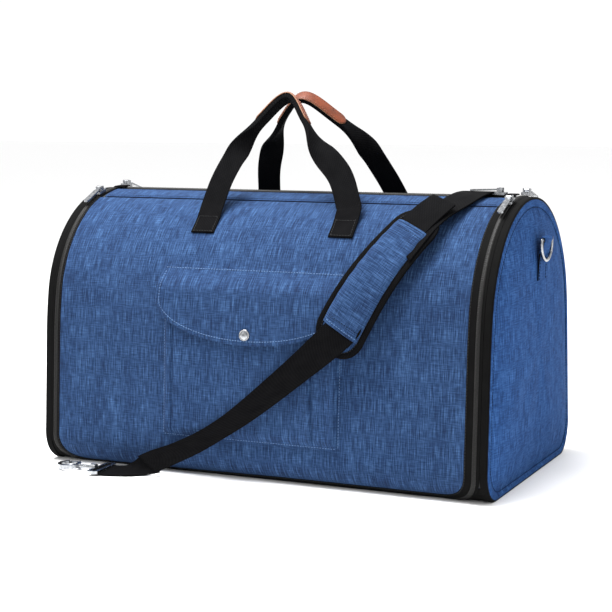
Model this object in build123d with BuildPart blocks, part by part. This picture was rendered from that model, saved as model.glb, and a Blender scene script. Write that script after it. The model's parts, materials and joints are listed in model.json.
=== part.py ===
"""Garment bag that zips up into a barrel-shaped duffel, in millimetres.

X runs along the bag, -Y is the front with the flap pocket, +Z is up. The origin is the centre of
the underside. The wrap is two curved wings hinged to a stiffened base; a D-shaped end panel hinges
on each short side. Handles, zip sliders, rings, pocket flap and shoulder strap are separate bodies.
"""

from build123d import *
import os
from math import cos, hypot, radians, sin

# Overall shape: one D section, extruded along X.
BAG_LENGTH = 560
BAG_HEIGHT = 320
CROWN_RADIUS = 140
CROWN_HALF_ANGLE = 80
FLANK_RADIUS = 480
FLANK_END_ANGLE = 86
FOOT_RADIUS = 34

# Walls, and the gap between parts that move past each other.
WALL = 4
LINING = 1
SKIN = 1.6
GAP = 0.3
SMALL_ROUND = 1

# Where the base, the wings and the ends part.
WING_END = 272
BASE_LIP = 20
WING_SPLIT_Y = 6
END_FACE_X = 276

# Zips: a raised coil on flat tapes.
TAPE_HALF_WIDTH = 12
SIDE_TAPE_EDGE_X = 254
COIL_X = 266
COIL_HALF_WIDTH = 3
COIL_HEIGHT = 3.2
FACING_EDGE_Y = 45
TAB_LENGTH = 4

# Zip sliders and their pulls.
SLIDER_LENGTH = 16
SLIDER_WIDTH = 10
SLIDER_THICK = 3
EAR_THICK = 1.4
EAR_LENGTH = 6
PIN_RISE = 6.3
PIN_RADIUS = 0.8
PIN_CLEARANCE = 0.08
PULL_LENGTH = 36
PULL_WIDTH = 7
PULL_NECK_WIDTH = 5
PULL_THICK = 1.8
PULL_NECK_END = 7.5
PULL_ROUND = 3.2
TOP_SLIDER_X = 242
TOP_PULL_TILT = 2
SIDE_PULL_TILT = 8
FRONT_SLIDER_ANGLE = 16
REAR_SLIDER_ANGLE = 9

# Front pocket, its flap and the snap.
POCKET_CENTRE_X = -4
POCKET_HALF_WIDTH = 113
POCKET_BOTTOM = 46
POCKET_TOP = 204
POCKET_DEPTH = 10
POCKET_CLOTH = 1.5
POCKET_MOUTH_CUT = 1
FLAP_HALF_WIDTH = 120
FLAP_TOP = 234
FLAP_SHOULDER = 205
FLAP_BOTTOM = 157
FLAP_LIFT = 11.5
FLAP_CLOTH = 1.8
FLAP_SEAM_GAP = 2
FLAP_SEAM_HEIGHT = 8
SNAP_X = -6
SNAP_Z = 169
SNAP_RADIUS = 6.5
SNAP_STUD_RADIUS = 5.5
SNAP_DOME = 2.5

# Carry handles.
HANDLE_WEBBING = 3
HANDLE_LEG_X = 88
HANDLE_WIDTH = 30
HANDLE_FOLD_ANGLE = 33.4
HANDLE_FOLD_LIFT = 4.8
HANDLE_APEX_Y = 11
HANDLE_APEX_Z = 431
GRIP_FROM = 110
GRIP_WIDTH = 11
GRIP_THICK = 19
FOLDED_WIDTH = 6
FOLDED_THICK = 16
PATCH_DEPTH = 25

# Puffed end panels, their ring tabs and D-rings.
PUFF = 12
PUFF_INSET = 8
PUFF_ROUND = 11
TAB_HALF_WIDTH = 14
TAB_BOTTOM = 231
TAB_CLOTH = 1.7
RING_Z = 275
RING_X = 297
RING_WIRE = 1.75
RING_HALF_WIDTH = 19
RING_DROP = 24
RING_CLEARANCE = 0.35

# Shoulder strap and pad, laid over the front and the crown.
STRAP_WIDTH = 38
STRAP_CLOTH = 1.6
STRAP_LOW = 17
PAD_LOW = 13.8
PAD_CLOTH = 3
SLEEVE_LOW = 18.9
SLEEVE_CLOTH = 1.7
CROWN_RUN_LOW = 5
PAD_LEAN = 60
PAD_TURN = 61.7
PAD_CENTRE = (145, -16)
PAD_LENGTH = 190
PAD_WIDTH = 58
PAD_CORNER = 26
SLEEVE_LENGTH = 140
SLEEVE_WIDTH = 46
FLOOR_GAP = 0.3
RUN_FOOT_Z = 2.6
RUN_UPPER_EDGE = ((-150, RUN_FOOT_Z), (-22, 80), (84, 176))
RUN_LOWER_EDGE = ((120, 148), (0, 58), (-108, RUN_FOOT_Z))
CROWN_NEAR_EDGE = ((168, -78), (190, 0), (205, 104))
CROWN_FAR_EDGE = ((243, 104), (233, 0), (202, -96))
TAIL_OUTER_BEND = ((-108, -160), (-140, -190))
TAIL_INNER_BEND = ((-165, -157.5), (-150, -158))

# Snap hooks at the strap's two ends.
LOOP_LENGTH = 14
LOOP_WIDTH = 46
LOOP_WIRE = 3.5
BARREL_RADIUS = 2.5
BARREL_LENGTH = 7
COLLAR_RADIUS = 4.5
HOOK_OUTER = 14
HOOK_INNER = 9.5
HOOK_THICK = 5
HOOK_CENTRE = 38
HOOK_MOUTH_DEPTH = 13
GATE_WIDTH = 3
GATE_GAP = 0.8
GATE_HALF_LENGTH = 7
GATE_INSET = 0.6
GATE_RECESS = 1
FRONT_HOOK = (-193, -178, 4.8)
REAR_HOOK_X = 224
REAR_HOOK_ANGLE = 47

# Centres and tangent points of the section's arcs, worked out from the sizes above.
HALF_LENGTH = BAG_LENGTH / 2
CROWN_CENTRE_Z = BAG_HEIGHT - CROWN_RADIUS
radius_step = FLANK_RADIUS - CROWN_RADIUS
FLANK_CENTRE_Y = radius_step * sin(radians(CROWN_HALF_ANGLE))
FLANK_CENTRE_Z = CROWN_CENTRE_Z - radius_step * cos(radians(CROWN_HALF_ANGLE))
wall_sin = sin(radians(FLANK_END_ANGLE))
wall_cos = cos(radians(FLANK_END_ANGLE))
wall_top_y = FLANK_RADIUS * wall_sin - FLANK_CENTRE_Y
wall_top_z = FLANK_CENTRE_Z + FLANK_RADIUS * wall_cos
wall_foot_z = FOOT_RADIUS * (1 + wall_cos)
wall_foot_y = wall_top_y + (wall_top_z - wall_foot_z) * wall_cos / wall_sin
FOOT_CENTRE_Y = wall_foot_y - FOOT_RADIUS * wall_sin

FAR = 600
SIDES = {"front": -1, "rear": 1}
ENDS = {"left": -1, "right": 1}

os.makedirs("parts", exist_ok=True)


def save(piece, name):
    """Labels one finished sub-part and writes its STEP file."""
    piece.part.label = name
    export_step(piece.part, f"parts/{name}.step")


def bag_section(offset):
    """The D section of the bag, grown outwards by offset."""
    with BuildSketch() as section:
        with BuildLine():
            CenterArc((0, CROWN_CENTRE_Z), CROWN_RADIUS + offset, 90 - CROWN_HALF_ANGLE, CROWN_HALF_ANGLE)
            flank = CenterArc(
                (-FLANK_CENTRE_Y, FLANK_CENTRE_Z),
                FLANK_RADIUS + offset,
                90 - FLANK_END_ANGLE,
                FLANK_END_ANGLE - CROWN_HALF_ANGLE,
            )
            foot = CenterArc(
                (FOOT_CENTRE_Y, FOOT_RADIUS), FOOT_RADIUS + offset, -90, 180 - FLANK_END_ANGLE
            )
            Line(flank @ 0, foot @ 1)
            Line(foot @ 0, (0, -offset))
            mirror(about=Plane.YZ)
        make_face()
    return section.sketch


def bag_layer(inner, outer, x_low, x_high):
    """The wall between two offsets of the section, from x_low to x_high."""
    with BuildPart() as layer:
        with BuildSketch(Plane.YZ.offset(x_low)):
            add(bag_section(outer))
            add(bag_section(inner), mode=Mode.SUBTRACT)
        extrude(amount=x_high - x_low)
    return layer.part


def keep_box(y_low, y_high, z_low, z_high):
    """Keeps only what lies in a stretch of Y and Z."""
    with Locations((0, (y_low + y_high) / 2, (z_low + z_high) / 2)):
        Box(2 * FAR, y_high - y_low, z_high - z_low, mode=Mode.INTERSECT)


def crown_plane(x, angle, lift, travel):
    """Plane standing on the crown: x along it towards travel's side, z straight out."""
    slope = radians(angle)
    reach = CROWN_RADIUS + lift
    origin = (x, travel * reach * sin(slope), CROWN_CENTRE_Z + reach * cos(slope))
    along = (0, travel * cos(slope), -sin(slope))
    return Plane(origin, x_dir=along, z_dir=(0, travel * sin(slope), cos(slope)))


# ---------------------------------------------------------------- base
with BuildPart() as base_panel:
    add(bag_layer(-WALL, 0, -HALF_LENGTH, HALF_LENGTH))
    for end in ENDS.values():
        with BuildSketch(Plane.YZ.offset(end * END_FACE_X)):
            add(bag_section(0))
        extrude(amount=end * (HALF_LENGTH - END_FACE_X))
    keep_box(-FAR, FAR, -WALL, BASE_LIP)
save(base_panel, "base_panel")

with BuildPart() as base_board:
    with BuildSketch(Plane.XY.offset(WALL)):
        RectangleRounded(2 * END_FACE_X - WALL, 2 * FOOT_CENTRE_Y - WALL, FOOT_RADIUS / 2)
    extrude(amount=LINING + SKIN)
save(base_board, "base_board")

# ---------------------------------------------------------------- wings
# The front wing carries the whole top coil, so that its slider clears the rear wing.
WING_Y = {"front": (-FAR, WING_SPLIT_Y), "rear": (WING_SPLIT_Y + GAP, FAR)}
TOP_TAPE_Y = {
    "front": (-TAPE_HALF_WIDTH, WING_SPLIT_Y),
    "rear": (WING_SPLIT_Y + GAP, TAPE_HALF_WIDTH),
}

for wing, side in SIDES.items():
    y_low, y_high = WING_Y[wing]

    with BuildPart() as panel:
        add(bag_layer(-WALL, 0, -WING_END, WING_END))
        keep_box(y_low, y_high, BASE_LIP + GAP, FAR)
    save(panel, f"{wing}_panel")

    with BuildPart() as lining:
        add(bag_layer(-WALL - LINING, -WALL, -WING_END + WALL, WING_END - WALL))
        keep_box(y_low, y_high, BASE_LIP + WALL, FAR)
    save(lining, f"{wing}_lining")

    with BuildPart() as facing:
        add(bag_layer(0, SKIN, -SIDE_TAPE_EDGE_X, SIDE_TAPE_EDGE_X))
        facing_y = sorted((side * TAPE_HALF_WIDTH, side * FACING_EDGE_Y))
        keep_box(*facing_y, CROWN_CENTRE_Z, FAR)
    save(facing, f"{wing}_facing")

    with BuildPart() as top_tape:
        add(bag_layer(0, SKIN, -SIDE_TAPE_EDGE_X, SIDE_TAPE_EDGE_X))
        keep_box(*TOP_TAPE_Y[wing], CROWN_CENTRE_Z, FAR)
        if wing == "front":
            with Locations((0, 0, BAG_HEIGHT + COIL_HEIGHT / 2)):
                Box(2 * SIDE_TAPE_EDGE_X, 2 * COIL_HALF_WIDTH, COIL_HEIGHT)
    save(top_tape, f"{wing}_top_tape")

    for end_name, end in ENDS.items():
        tape_x = sorted((end * SIDE_TAPE_EDGE_X, end * WING_END))
        with BuildPart() as side_tape:
            add(bag_layer(0, SKIN, *tape_x))
            add(bag_layer(0, COIL_HEIGHT, end * COIL_X - COIL_HALF_WIDTH, end * COIL_X + COIL_HALF_WIDTH))
            keep_box(y_low, y_high, BASE_LIP + GAP, FAR)
        save(side_tape, f"{wing}_{end_name}_tape")

with BuildPart() as zip_end_tabs:
    for end in ENDS.values():
        tab_x = sorted((end * (SIDE_TAPE_EDGE_X - TAB_LENGTH / 2), end * (COIL_X - COIL_HALF_WIDTH)))
        add(bag_layer(COIL_HEIGHT, COIL_HEIGHT + SKIN, *tab_x))
    keep_box(*TOP_TAPE_Y["front"], CROWN_CENTRE_Z, FAR)
save(zip_end_tabs, "zip_end_tabs")


# ---------------------------------------------------------------- zip sliders
def slider(plane, name):
    """Makes a slider over the coil: plane's origin is on the coil's crest, x towards the pull."""
    with BuildPart() as body:
        with BuildSketch(plane.offset(GAP)):
            RectangleRounded(SLIDER_LENGTH, SLIDER_WIDTH, SLIDER_WIDTH / 4)
        extrude(amount=SLIDER_THICK)
        ear_y = PULL_NECK_WIDTH / 2 + GAP + EAR_THICK / 2
        with BuildSketch(plane.offset(GAP)):
            with Locations((0, ear_y), (0, -ear_y)):
                Rectangle(EAR_LENGTH, EAR_THICK)
        extrude(amount=PIN_RISE + 2 * PIN_RADIUS)
        pin_start = plane.from_local_coords((0, -ear_y, PIN_RISE))
        pin_plane = Plane(pin_start, x_dir=plane.x_dir, z_dir=plane.y_dir)
        with BuildSketch(pin_plane):
            Circle(PIN_RADIUS)
        extrude(amount=2 * ear_y)
    save(body, name)


def pull(plane, tilt, name):
    """Makes the flat pull that swings on the slider's pin, tilted down towards the tape."""
    hub = plane.from_local_coords((0, 0, PIN_RISE))
    drop = sin(radians(tilt))
    along = plane.x_dir * cos(radians(tilt)) - plane.z_dir * drop
    face = plane.z_dir * cos(radians(tilt)) + plane.x_dir * drop
    tag = Plane(hub, x_dir=along, z_dir=face)
    with BuildPart() as body:
        with BuildSketch(tag.offset(-PULL_THICK / 2)):
            with Locations(((PULL_NECK_END - PIN_RADIUS) / 2, 0)):
                RectangleRounded(PULL_NECK_END + PIN_RADIUS, PULL_NECK_WIDTH, SMALL_ROUND)
            with Locations(((PULL_LENGTH + EAR_LENGTH) / 2, 0)):
                RectangleRounded(PULL_LENGTH - EAR_LENGTH, PULL_WIDTH, PULL_ROUND)
        extrude(amount=PULL_THICK)
        eye_start = tag.from_local_coords((0, -PULL_NECK_WIDTH / 2, 0))
        with BuildSketch(Plane(eye_start, x_dir=tag.x_dir, z_dir=tag.y_dir)):
            Circle(PIN_RADIUS + SKIN)
        extrude(amount=PULL_NECK_WIDTH)
        with BuildSketch(Plane(eye_start, x_dir=tag.x_dir, z_dir=tag.y_dir)):
            Circle(PIN_RADIUS + PIN_CLEARANCE)
        extrude(amount=PULL_NECK_WIDTH, mode=Mode.SUBTRACT)
    save(body, name)


top_plane = Plane((TOP_SLIDER_X, 0, BAG_HEIGHT + COIL_HEIGHT), x_dir=(-1, 0, 0), z_dir=(0, 0, 1))
slider(top_plane, "top_slider")
pull(top_plane, TOP_PULL_TILT, "top_slider_pull")
for end_name, end in ENDS.items():
    for wing, side in SIDES.items():
        slider_angle = FRONT_SLIDER_ANGLE if wing == "front" else REAR_SLIDER_ANGLE
        coil_plane = crown_plane(end * COIL_X, slider_angle, COIL_HEIGHT, side)
        slider(coil_plane, f"{wing}_{end_name}_slider")
        pull(coil_plane, SIDE_PULL_TILT, f"{wing}_{end_name}_pull")

# ---------------------------------------------------------------- pocket and flap
pocket_mouth = POCKET_TOP + POCKET_MOUTH_CUT
with BuildPart() as pocket_space:
    add(bag_layer(0, POCKET_DEPTH - POCKET_CLOTH, -BAG_LENGTH / 2, BAG_LENGTH / 2))
    with BuildSketch(Plane.XZ):
        with Locations((POCKET_CENTRE_X, (POCKET_BOTTOM + POCKET_CLOTH + pocket_mouth) / 2)):
            Rectangle(2 * (POCKET_HALF_WIDTH - POCKET_CLOTH), pocket_mouth - POCKET_BOTTOM - POCKET_CLOTH)
    extrude(amount=FAR, mode=Mode.INTERSECT)

with BuildPart() as pocket_panel:
    add(bag_layer(0, POCKET_DEPTH, -BAG_LENGTH / 2, BAG_LENGTH / 2))
    with BuildSketch(Plane.XZ):
        with Locations((POCKET_CENTRE_X, (POCKET_BOTTOM + POCKET_TOP) / 2)):
            Rectangle(2 * POCKET_HALF_WIDTH, POCKET_TOP - POCKET_BOTTOM)
    extrude(amount=FAR, mode=Mode.INTERSECT)
    add(pocket_space.part, mode=Mode.SUBTRACT)
save(pocket_panel, "pocket_panel")

with BuildPart() as flap_seam:
    seam_x = (POCKET_CENTRE_X - FLAP_HALF_WIDTH, POCKET_CENTRE_X + FLAP_HALF_WIDTH)
    add(bag_layer(0, FLAP_LIFT + FLAP_CLOTH, *seam_x))
    keep_box(-FAR, 0, FLAP_TOP + FLAP_SEAM_GAP, FLAP_TOP + FLAP_SEAM_HEIGHT)
save(flap_seam, "flap_seam")

with BuildPart() as pocket_flap:
    add(bag_layer(FLAP_LIFT, FLAP_LIFT + FLAP_CLOTH, -BAG_LENGTH / 2, BAG_LENGTH / 2))
    with BuildSketch(Plane.XZ):
        with Locations((POCKET_CENTRE_X, FLAP_SHOULDER)):
            Ellipse(FLAP_HALF_WIDTH, FLAP_SHOULDER - FLAP_BOTTOM)
        with Locations((POCKET_CENTRE_X, FLAP_TOP)):
            Rectangle(2 * FLAP_HALF_WIDTH, 2 * (FLAP_TOP - FLAP_SHOULDER), mode=Mode.SUBTRACT)
        with Locations((POCKET_CENTRE_X, (FLAP_TOP + FLAP_SHOULDER) / 2)):
            Rectangle(2 * FLAP_HALF_WIDTH, FLAP_TOP - FLAP_SHOULDER)
    extrude(amount=FAR, mode=Mode.INTERSECT)
save(pocket_flap, "pocket_flap")

SNAP_LAYERS = {
    "snap_stud": (POCKET_DEPTH, FLAP_LIFT - GAP, SNAP_STUD_RADIUS),
    "snap_cap": (FLAP_LIFT + FLAP_CLOTH, FLAP_LIFT + FLAP_CLOTH + SNAP_DOME, SNAP_RADIUS),
}
for snap_name, (low, high, radius) in SNAP_LAYERS.items():
    with BuildPart() as snap_disc:
        add(bag_layer(low, high, SNAP_X - 2 * radius, SNAP_X + 2 * radius))
        with BuildSketch(Plane.XZ):
            with Locations((SNAP_X, SNAP_Z)):
                Circle(radius)
        extrude(amount=FAR, mode=Mode.INTERSECT)
    save(snap_disc, snap_name)

# ---------------------------------------------------------------- handles
fold_reach = CROWN_RADIUS + HANDLE_FOLD_LIFT
FOLD_Y = fold_reach * sin(radians(HANDLE_FOLD_ANGLE))
FOLD_Z = CROWN_CENTRE_Z + fold_reach * cos(radians(HANDLE_FOLD_ANGLE))
HANDLE_RISE = hypot(FOLD_Y - HANDLE_APEX_Y, HANDLE_APEX_Z - FOLD_Z)

# Each arch's shape between its feet: lower left, upper left, apex, upper right, lower right.
HANDLE_SHAPE = {
    "front": ((-81, 60), (-52, 108), (-12, HANDLE_RISE), (24, 104), (54, 56)),
    "rear": ((-68, 56), (-38, 104), (-2, HANDLE_RISE), (36, 104), (66, 56)),
}


def handle_band(plane, shape, width, thick, low, high):
    """The arch of webbing in its leaning plane, between two heights along the lean."""
    with BuildPart() as band:
        with BuildSketch(plane.offset(-thick / 2)):
            with BuildLine():
                Spline((-HANDLE_LEG_X, 0), *shape, (HANDLE_LEG_X, 0))
            trace(line_width=width)
        extrude(amount=thick)
        with BuildSketch(plane.offset(-thick)):
            with Locations((0, (low + high) / 2)):
                Rectangle(2 * HANDLE_LEG_X + 2 * HANDLE_WIDTH, high - low)
        extrude(amount=2 * thick, mode=Mode.INTERSECT)
    return band.part


for wing, side in SIDES.items():
    shape = HANDLE_SHAPE[wing]
    normal = (0, FOLD_Z - HANDLE_APEX_Z, side * (HANDLE_APEX_Y - FOLD_Y))
    arch_plane = Plane((0, side * FOLD_Y, FOLD_Z), x_dir=(1, 0, 0), z_dir=normal)

    with BuildPart() as folded:
        add(handle_band(arch_plane, shape, FOLDED_WIDTH, FOLDED_THICK, GRIP_FROM, FAR))

    with BuildPart() as handle_webbing:
        add(handle_band(arch_plane, shape, HANDLE_WIDTH, HANDLE_WEBBING, 0, GRIP_FROM))
        add(folded.part)
    save(handle_webbing, f"{wing}_handle_webbing")

    with BuildPart() as handle_grip:
        add(handle_band(arch_plane, shape, GRIP_WIDTH, GRIP_THICK, GRIP_FROM + GAP, FAR))
        add(folded.part, mode=Mode.SUBTRACT)
    save(handle_grip, f"{wing}_handle_grip")

    patch_top = CROWN_RADIUS * sin(radians(HANDLE_FOLD_ANGLE))
    patch_y = sorted((side * patch_top, side * (patch_top + PATCH_DEPTH)))
    with BuildPart() as handle_patches:
        for leg_x in (-HANDLE_LEG_X, HANDLE_LEG_X):
            add(bag_layer(0, HANDLE_WEBBING, leg_x - HANDLE_WIDTH / 2, leg_x + HANDLE_WIDTH / 2))
        keep_box(*patch_y, CROWN_CENTRE_Z, FAR)
    save(handle_patches, f"{wing}_handle_patches")

# ---------------------------------------------------------------- ends, tabs and rings
for end_name, end in ENDS.items():
    with BuildPart() as end_panel:
        gusset_x = sorted((end * (WING_END + GAP), end * HALF_LENGTH))
        add(bag_layer(-WALL, 0, *gusset_x))
        with BuildSketch(Plane.YZ.offset(end * END_FACE_X)):
            add(bag_section(0))
        extrude(amount=end * (HALF_LENGTH - END_FACE_X))
        with BuildSketch(Plane.YZ.offset(end * HALF_LENGTH)):
            add(bag_section(-PUFF_INSET))
        extrude(amount=end * PUFF)
        puff_rim = end_panel.faces().sort_by(Axis.X)[-1 if end > 0 else 0].edges()
        fillet(puff_rim, radius=PUFF_ROUND)
        keep_box(-FAR, FAR, BASE_LIP + GAP, FAR)
    save(end_panel, f"{end_name}_end_panel")

    with BuildPart() as end_tape:
        add(bag_layer(0, SKIN, *gusset_x))
        keep_box(-FAR, FAR, BASE_LIP + GAP, FAR)
    save(end_tape, f"{end_name}_end_tape")

    tab_x = end * (HALF_LENGTH + PUFF)
    with BuildPart() as ring_tab:
        with BuildSketch(Plane.XZ.offset(-TAB_HALF_WIDTH)):
            with Locations((tab_x + end * TAB_CLOTH / 2, (TAB_BOTTOM + RING_Z) / 2)):
                Rectangle(TAB_CLOTH, RING_Z - TAB_BOTTOM)
            with Locations((end * RING_X, RING_Z)):
                Circle(RING_WIRE + RING_CLEARANCE + TAB_CLOTH)
                Circle(RING_WIRE + RING_CLEARANCE, mode=Mode.SUBTRACT)
        extrude(amount=2 * TAB_HALF_WIDTH)
    save(ring_tab, f"{end_name}_ring_tab")

    with BuildPart() as d_ring:
        ring_plane = Plane((end * RING_X, 0, RING_Z), x_dir=(0, 1, 0), z_dir=(1, 0, 0))
        with BuildSketch(Plane((end * RING_X, -RING_HALF_WIDTH, RING_Z), x_dir=(1, 0, 0), z_dir=(0, 1, 0))):
            Circle(RING_WIRE)
        extrude(amount=2 * RING_HALF_WIDTH)
        with BuildLine(ring_plane) as bow:
            ThreePointArc((-RING_HALF_WIDTH, 0), (0, -RING_DROP), (RING_HALF_WIDTH, 0))
        with BuildSketch(Plane(bow.line @ 0, z_dir=bow.line % 0)):
            Circle(RING_WIRE)
        sweep(path=bow.line)
        with Locations((end * RING_X, RING_HALF_WIDTH, RING_Z), (end * RING_X, -RING_HALF_WIDTH, RING_Z)):
            Sphere(RING_WIRE)
    save(d_ring, f"{end_name}_d_ring")

# ---------------------------------------------------------------- shoulder strap
# The pad's outline is drawn square to the crown at PAD_LEAN and cut out of curved layers.
lean_sin = sin(radians(PAD_LEAN))
lean_cos = cos(radians(PAD_LEAN))
pad_plane = Plane((0, 0, CROWN_CENTRE_Z), x_dir=(1, 0, 0), z_dir=(0, -lean_sin, lean_cos))


def pad_outline(length, width, corner):
    """The prism of a rounded outline along the strap's slant over the front of the crown."""
    with BuildPart() as prism:
        with BuildSketch(pad_plane):
            with Locations(PAD_CENTRE):
                RectangleRounded(length, width, corner, rotation=PAD_TURN)
        extrude(amount=FAR)
    return prism.part


def strap_layer(low, cloth):
    """The layer of cloth standing low off the section, all along the bag."""
    return bag_layer(low, low + cloth, -HALF_LENGTH, HALF_LENGTH)


with BuildPart() as shoulder_pad:
    add(strap_layer(PAD_LOW, PAD_CLOTH))
    add(pad_outline(PAD_LENGTH, PAD_WIDTH, PAD_CORNER), mode=Mode.INTERSECT)
save(shoulder_pad, "shoulder_pad")

with BuildPart() as pad_sleeve:
    add(strap_layer(SLEEVE_LOW, SLEEVE_CLOTH))
    add(pad_outline(SLEEVE_LENGTH, SLEEVE_WIDTH, SMALL_ROUND), mode=Mode.INTERSECT)
save(pad_sleeve, "pad_sleeve")

with BuildPart() as run_prism:
    add(pad_outline(PAD_LENGTH + PAD_CORNER / 2, STRAP_WIDTH, SMALL_ROUND))
    with BuildSketch(Plane.XZ):
        with BuildLine():
            upper = ThreePointArc(*RUN_UPPER_EDGE)
            lower = ThreePointArc(*RUN_LOWER_EDGE)
            Line(upper @ 1, lower @ 0)
            Line(lower @ 1, upper @ 0)
        make_face()
    extrude(amount=FAR)
with BuildPart() as strap_front_run:
    add(strap_layer(STRAP_LOW, STRAP_CLOTH))
    add(run_prism.part, mode=Mode.INTERSECT)
save(strap_front_run, "strap_front_run")

with BuildPart() as crown_prism:
    with BuildSketch(Plane.XY.offset(CROWN_CENTRE_Z)):
        with BuildLine():
            near = ThreePointArc(*CROWN_NEAR_EDGE)
            far = ThreePointArc(*CROWN_FAR_EDGE)
            Line(near @ 1, far @ 0)
            Line(far @ 1, near @ 0)
        make_face()
    extrude(amount=FAR)
with BuildPart() as strap_rear_run:
    add(strap_layer(CROWN_RUN_LOW, STRAP_CLOTH))
    add(crown_prism.part, mode=Mode.INTERSECT)
save(strap_rear_run, "strap_rear_run")

with BuildPart() as strap_tail:
    with BuildSketch(Plane.XY.offset(FLOOR_GAP)):
        with BuildLine():
            tail_end = FRONT_HOOK[0] + LOOP_LENGTH + GAP
            outer = ThreePointArc(*TAIL_OUTER_BEND, (tail_end, FRONT_HOOK[1] - STRAP_WIDTH / 2))
            inner = ThreePointArc((tail_end, FRONT_HOOK[1] + STRAP_WIDTH / 2), *TAIL_INNER_BEND)
            Line(outer @ 1, inner @ 0)
            Line(inner @ 1, outer @ 0)
        make_face()
    extrude(amount=STRAP_CLOTH)
save(strap_tail, "strap_tail")


# ---------------------------------------------------------------- snap hooks
def snap_hook(plane, end_name):
    """Makes a strap loop, its swivelling hook and the hook's gate: x points away from the strap."""
    with BuildPart() as loop:
        with BuildSketch(plane.offset(-LOOP_WIRE / 2)):
            with Locations((-LOOP_LENGTH / 2, 0)):
                RectangleRounded(LOOP_LENGTH, LOOP_WIDTH, LOOP_WIRE)
                Rectangle(LOOP_LENGTH - 2 * LOOP_WIRE, LOOP_WIDTH - 2 * LOOP_WIRE, mode=Mode.SUBTRACT)
        extrude(amount=LOOP_WIRE)
    save(loop, f"{end_name}_hook_loop")

    with BuildPart() as hook:
        barrel_plane = Plane(plane.from_local_coords((GAP, 0, 0)), x_dir=plane.y_dir, z_dir=plane.x_dir)
        with BuildSketch(barrel_plane):
            Circle(BARREL_RADIUS)
        extrude(amount=HOOK_CENTRE - HOOK_OUTER)
        with BuildSketch(barrel_plane):
            Circle(COLLAR_RADIUS)
        extrude(amount=BARREL_LENGTH)
        with BuildSketch(plane.offset(-HOOK_THICK / 2)):
            with Locations((HOOK_CENTRE, 0)):
                Circle(HOOK_OUTER)
                Circle(HOOK_INNER, mode=Mode.SUBTRACT)
            with Locations((HOOK_CENTRE, -HOOK_OUTER)):
                Rectangle(2 * GATE_HALF_LENGTH, HOOK_MOUTH_DEPTH, mode=Mode.SUBTRACT)
        extrude(amount=HOOK_THICK)
    save(hook, f"{end_name}_hook")

    with BuildPart() as gate:
        with BuildSketch(plane.offset(GATE_RECESS - HOOK_THICK / 2)):
            with Locations((HOOK_CENTRE, GATE_INSET + GATE_WIDTH / 2 - HOOK_OUTER)):
                Rectangle(2 * (GATE_HALF_LENGTH - GATE_GAP), GATE_WIDTH)
        extrude(amount=HOOK_THICK - 2 * GATE_RECESS)
    save(gate, f"{end_name}_hook_gate")


snap_hook(Plane(FRONT_HOOK, x_dir=(-1, 0, 0), z_dir=(0, 0, 1)), "front")
rear_hook_plane = crown_plane(REAR_HOOK_X, REAR_HOOK_ANGLE, CROWN_RUN_LOW + LOOP_WIRE, 1)
snap_hook(rear_hook_plane, "rear")
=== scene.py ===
"""Looks of a garment bag zipped up as a barrel duffel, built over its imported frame.

X runs along the bag, -Y is the front with the flap pocket and +Z is up. Shapes are worked out in
millimetres on the bag's own surface: x along the bag and s, the distance over the cloth from the
top zip. They go into the meshes in metres.
"""

from __future__ import annotations

import json
import logging
import math
from dataclasses import dataclass
from enum import Enum
from typing import Sequence

import bmesh
import bpy
import numpy as np
from mathutils import Matrix, Vector

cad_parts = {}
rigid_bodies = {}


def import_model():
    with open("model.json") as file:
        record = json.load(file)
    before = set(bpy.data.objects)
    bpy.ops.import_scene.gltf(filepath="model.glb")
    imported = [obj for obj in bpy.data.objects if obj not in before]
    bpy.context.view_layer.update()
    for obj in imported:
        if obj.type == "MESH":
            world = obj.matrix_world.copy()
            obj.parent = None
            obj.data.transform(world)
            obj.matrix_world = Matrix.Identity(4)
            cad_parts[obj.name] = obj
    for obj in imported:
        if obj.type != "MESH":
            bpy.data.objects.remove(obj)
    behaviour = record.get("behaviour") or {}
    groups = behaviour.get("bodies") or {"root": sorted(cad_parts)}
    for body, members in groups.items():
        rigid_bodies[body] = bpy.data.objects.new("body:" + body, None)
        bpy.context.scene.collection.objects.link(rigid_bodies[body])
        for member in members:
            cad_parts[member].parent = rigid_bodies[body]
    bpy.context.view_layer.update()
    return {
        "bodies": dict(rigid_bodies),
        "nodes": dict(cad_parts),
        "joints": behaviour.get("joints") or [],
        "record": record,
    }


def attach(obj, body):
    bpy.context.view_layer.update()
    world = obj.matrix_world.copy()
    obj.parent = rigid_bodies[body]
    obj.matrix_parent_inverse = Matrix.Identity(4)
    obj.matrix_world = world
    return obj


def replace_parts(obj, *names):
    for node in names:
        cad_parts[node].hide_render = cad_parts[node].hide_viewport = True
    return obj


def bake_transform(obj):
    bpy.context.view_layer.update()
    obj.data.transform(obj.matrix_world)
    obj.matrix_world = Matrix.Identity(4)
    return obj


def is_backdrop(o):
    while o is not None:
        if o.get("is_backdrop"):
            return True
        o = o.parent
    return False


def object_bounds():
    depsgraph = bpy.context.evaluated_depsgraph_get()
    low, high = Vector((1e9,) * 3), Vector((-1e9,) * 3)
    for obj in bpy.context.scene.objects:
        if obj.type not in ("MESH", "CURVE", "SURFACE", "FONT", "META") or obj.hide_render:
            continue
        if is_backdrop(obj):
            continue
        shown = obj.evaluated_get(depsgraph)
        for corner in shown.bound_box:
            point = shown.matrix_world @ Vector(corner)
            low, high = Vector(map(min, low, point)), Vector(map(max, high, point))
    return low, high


LOG = logging.getLogger("garment_bag")
MM = 0.001
Array = np.ndarray
Piece = bpy.types.Object
Tree = bpy.types.NodeTree
Node = bpy.types.Node
Socket = bpy.types.NodeSocket


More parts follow.
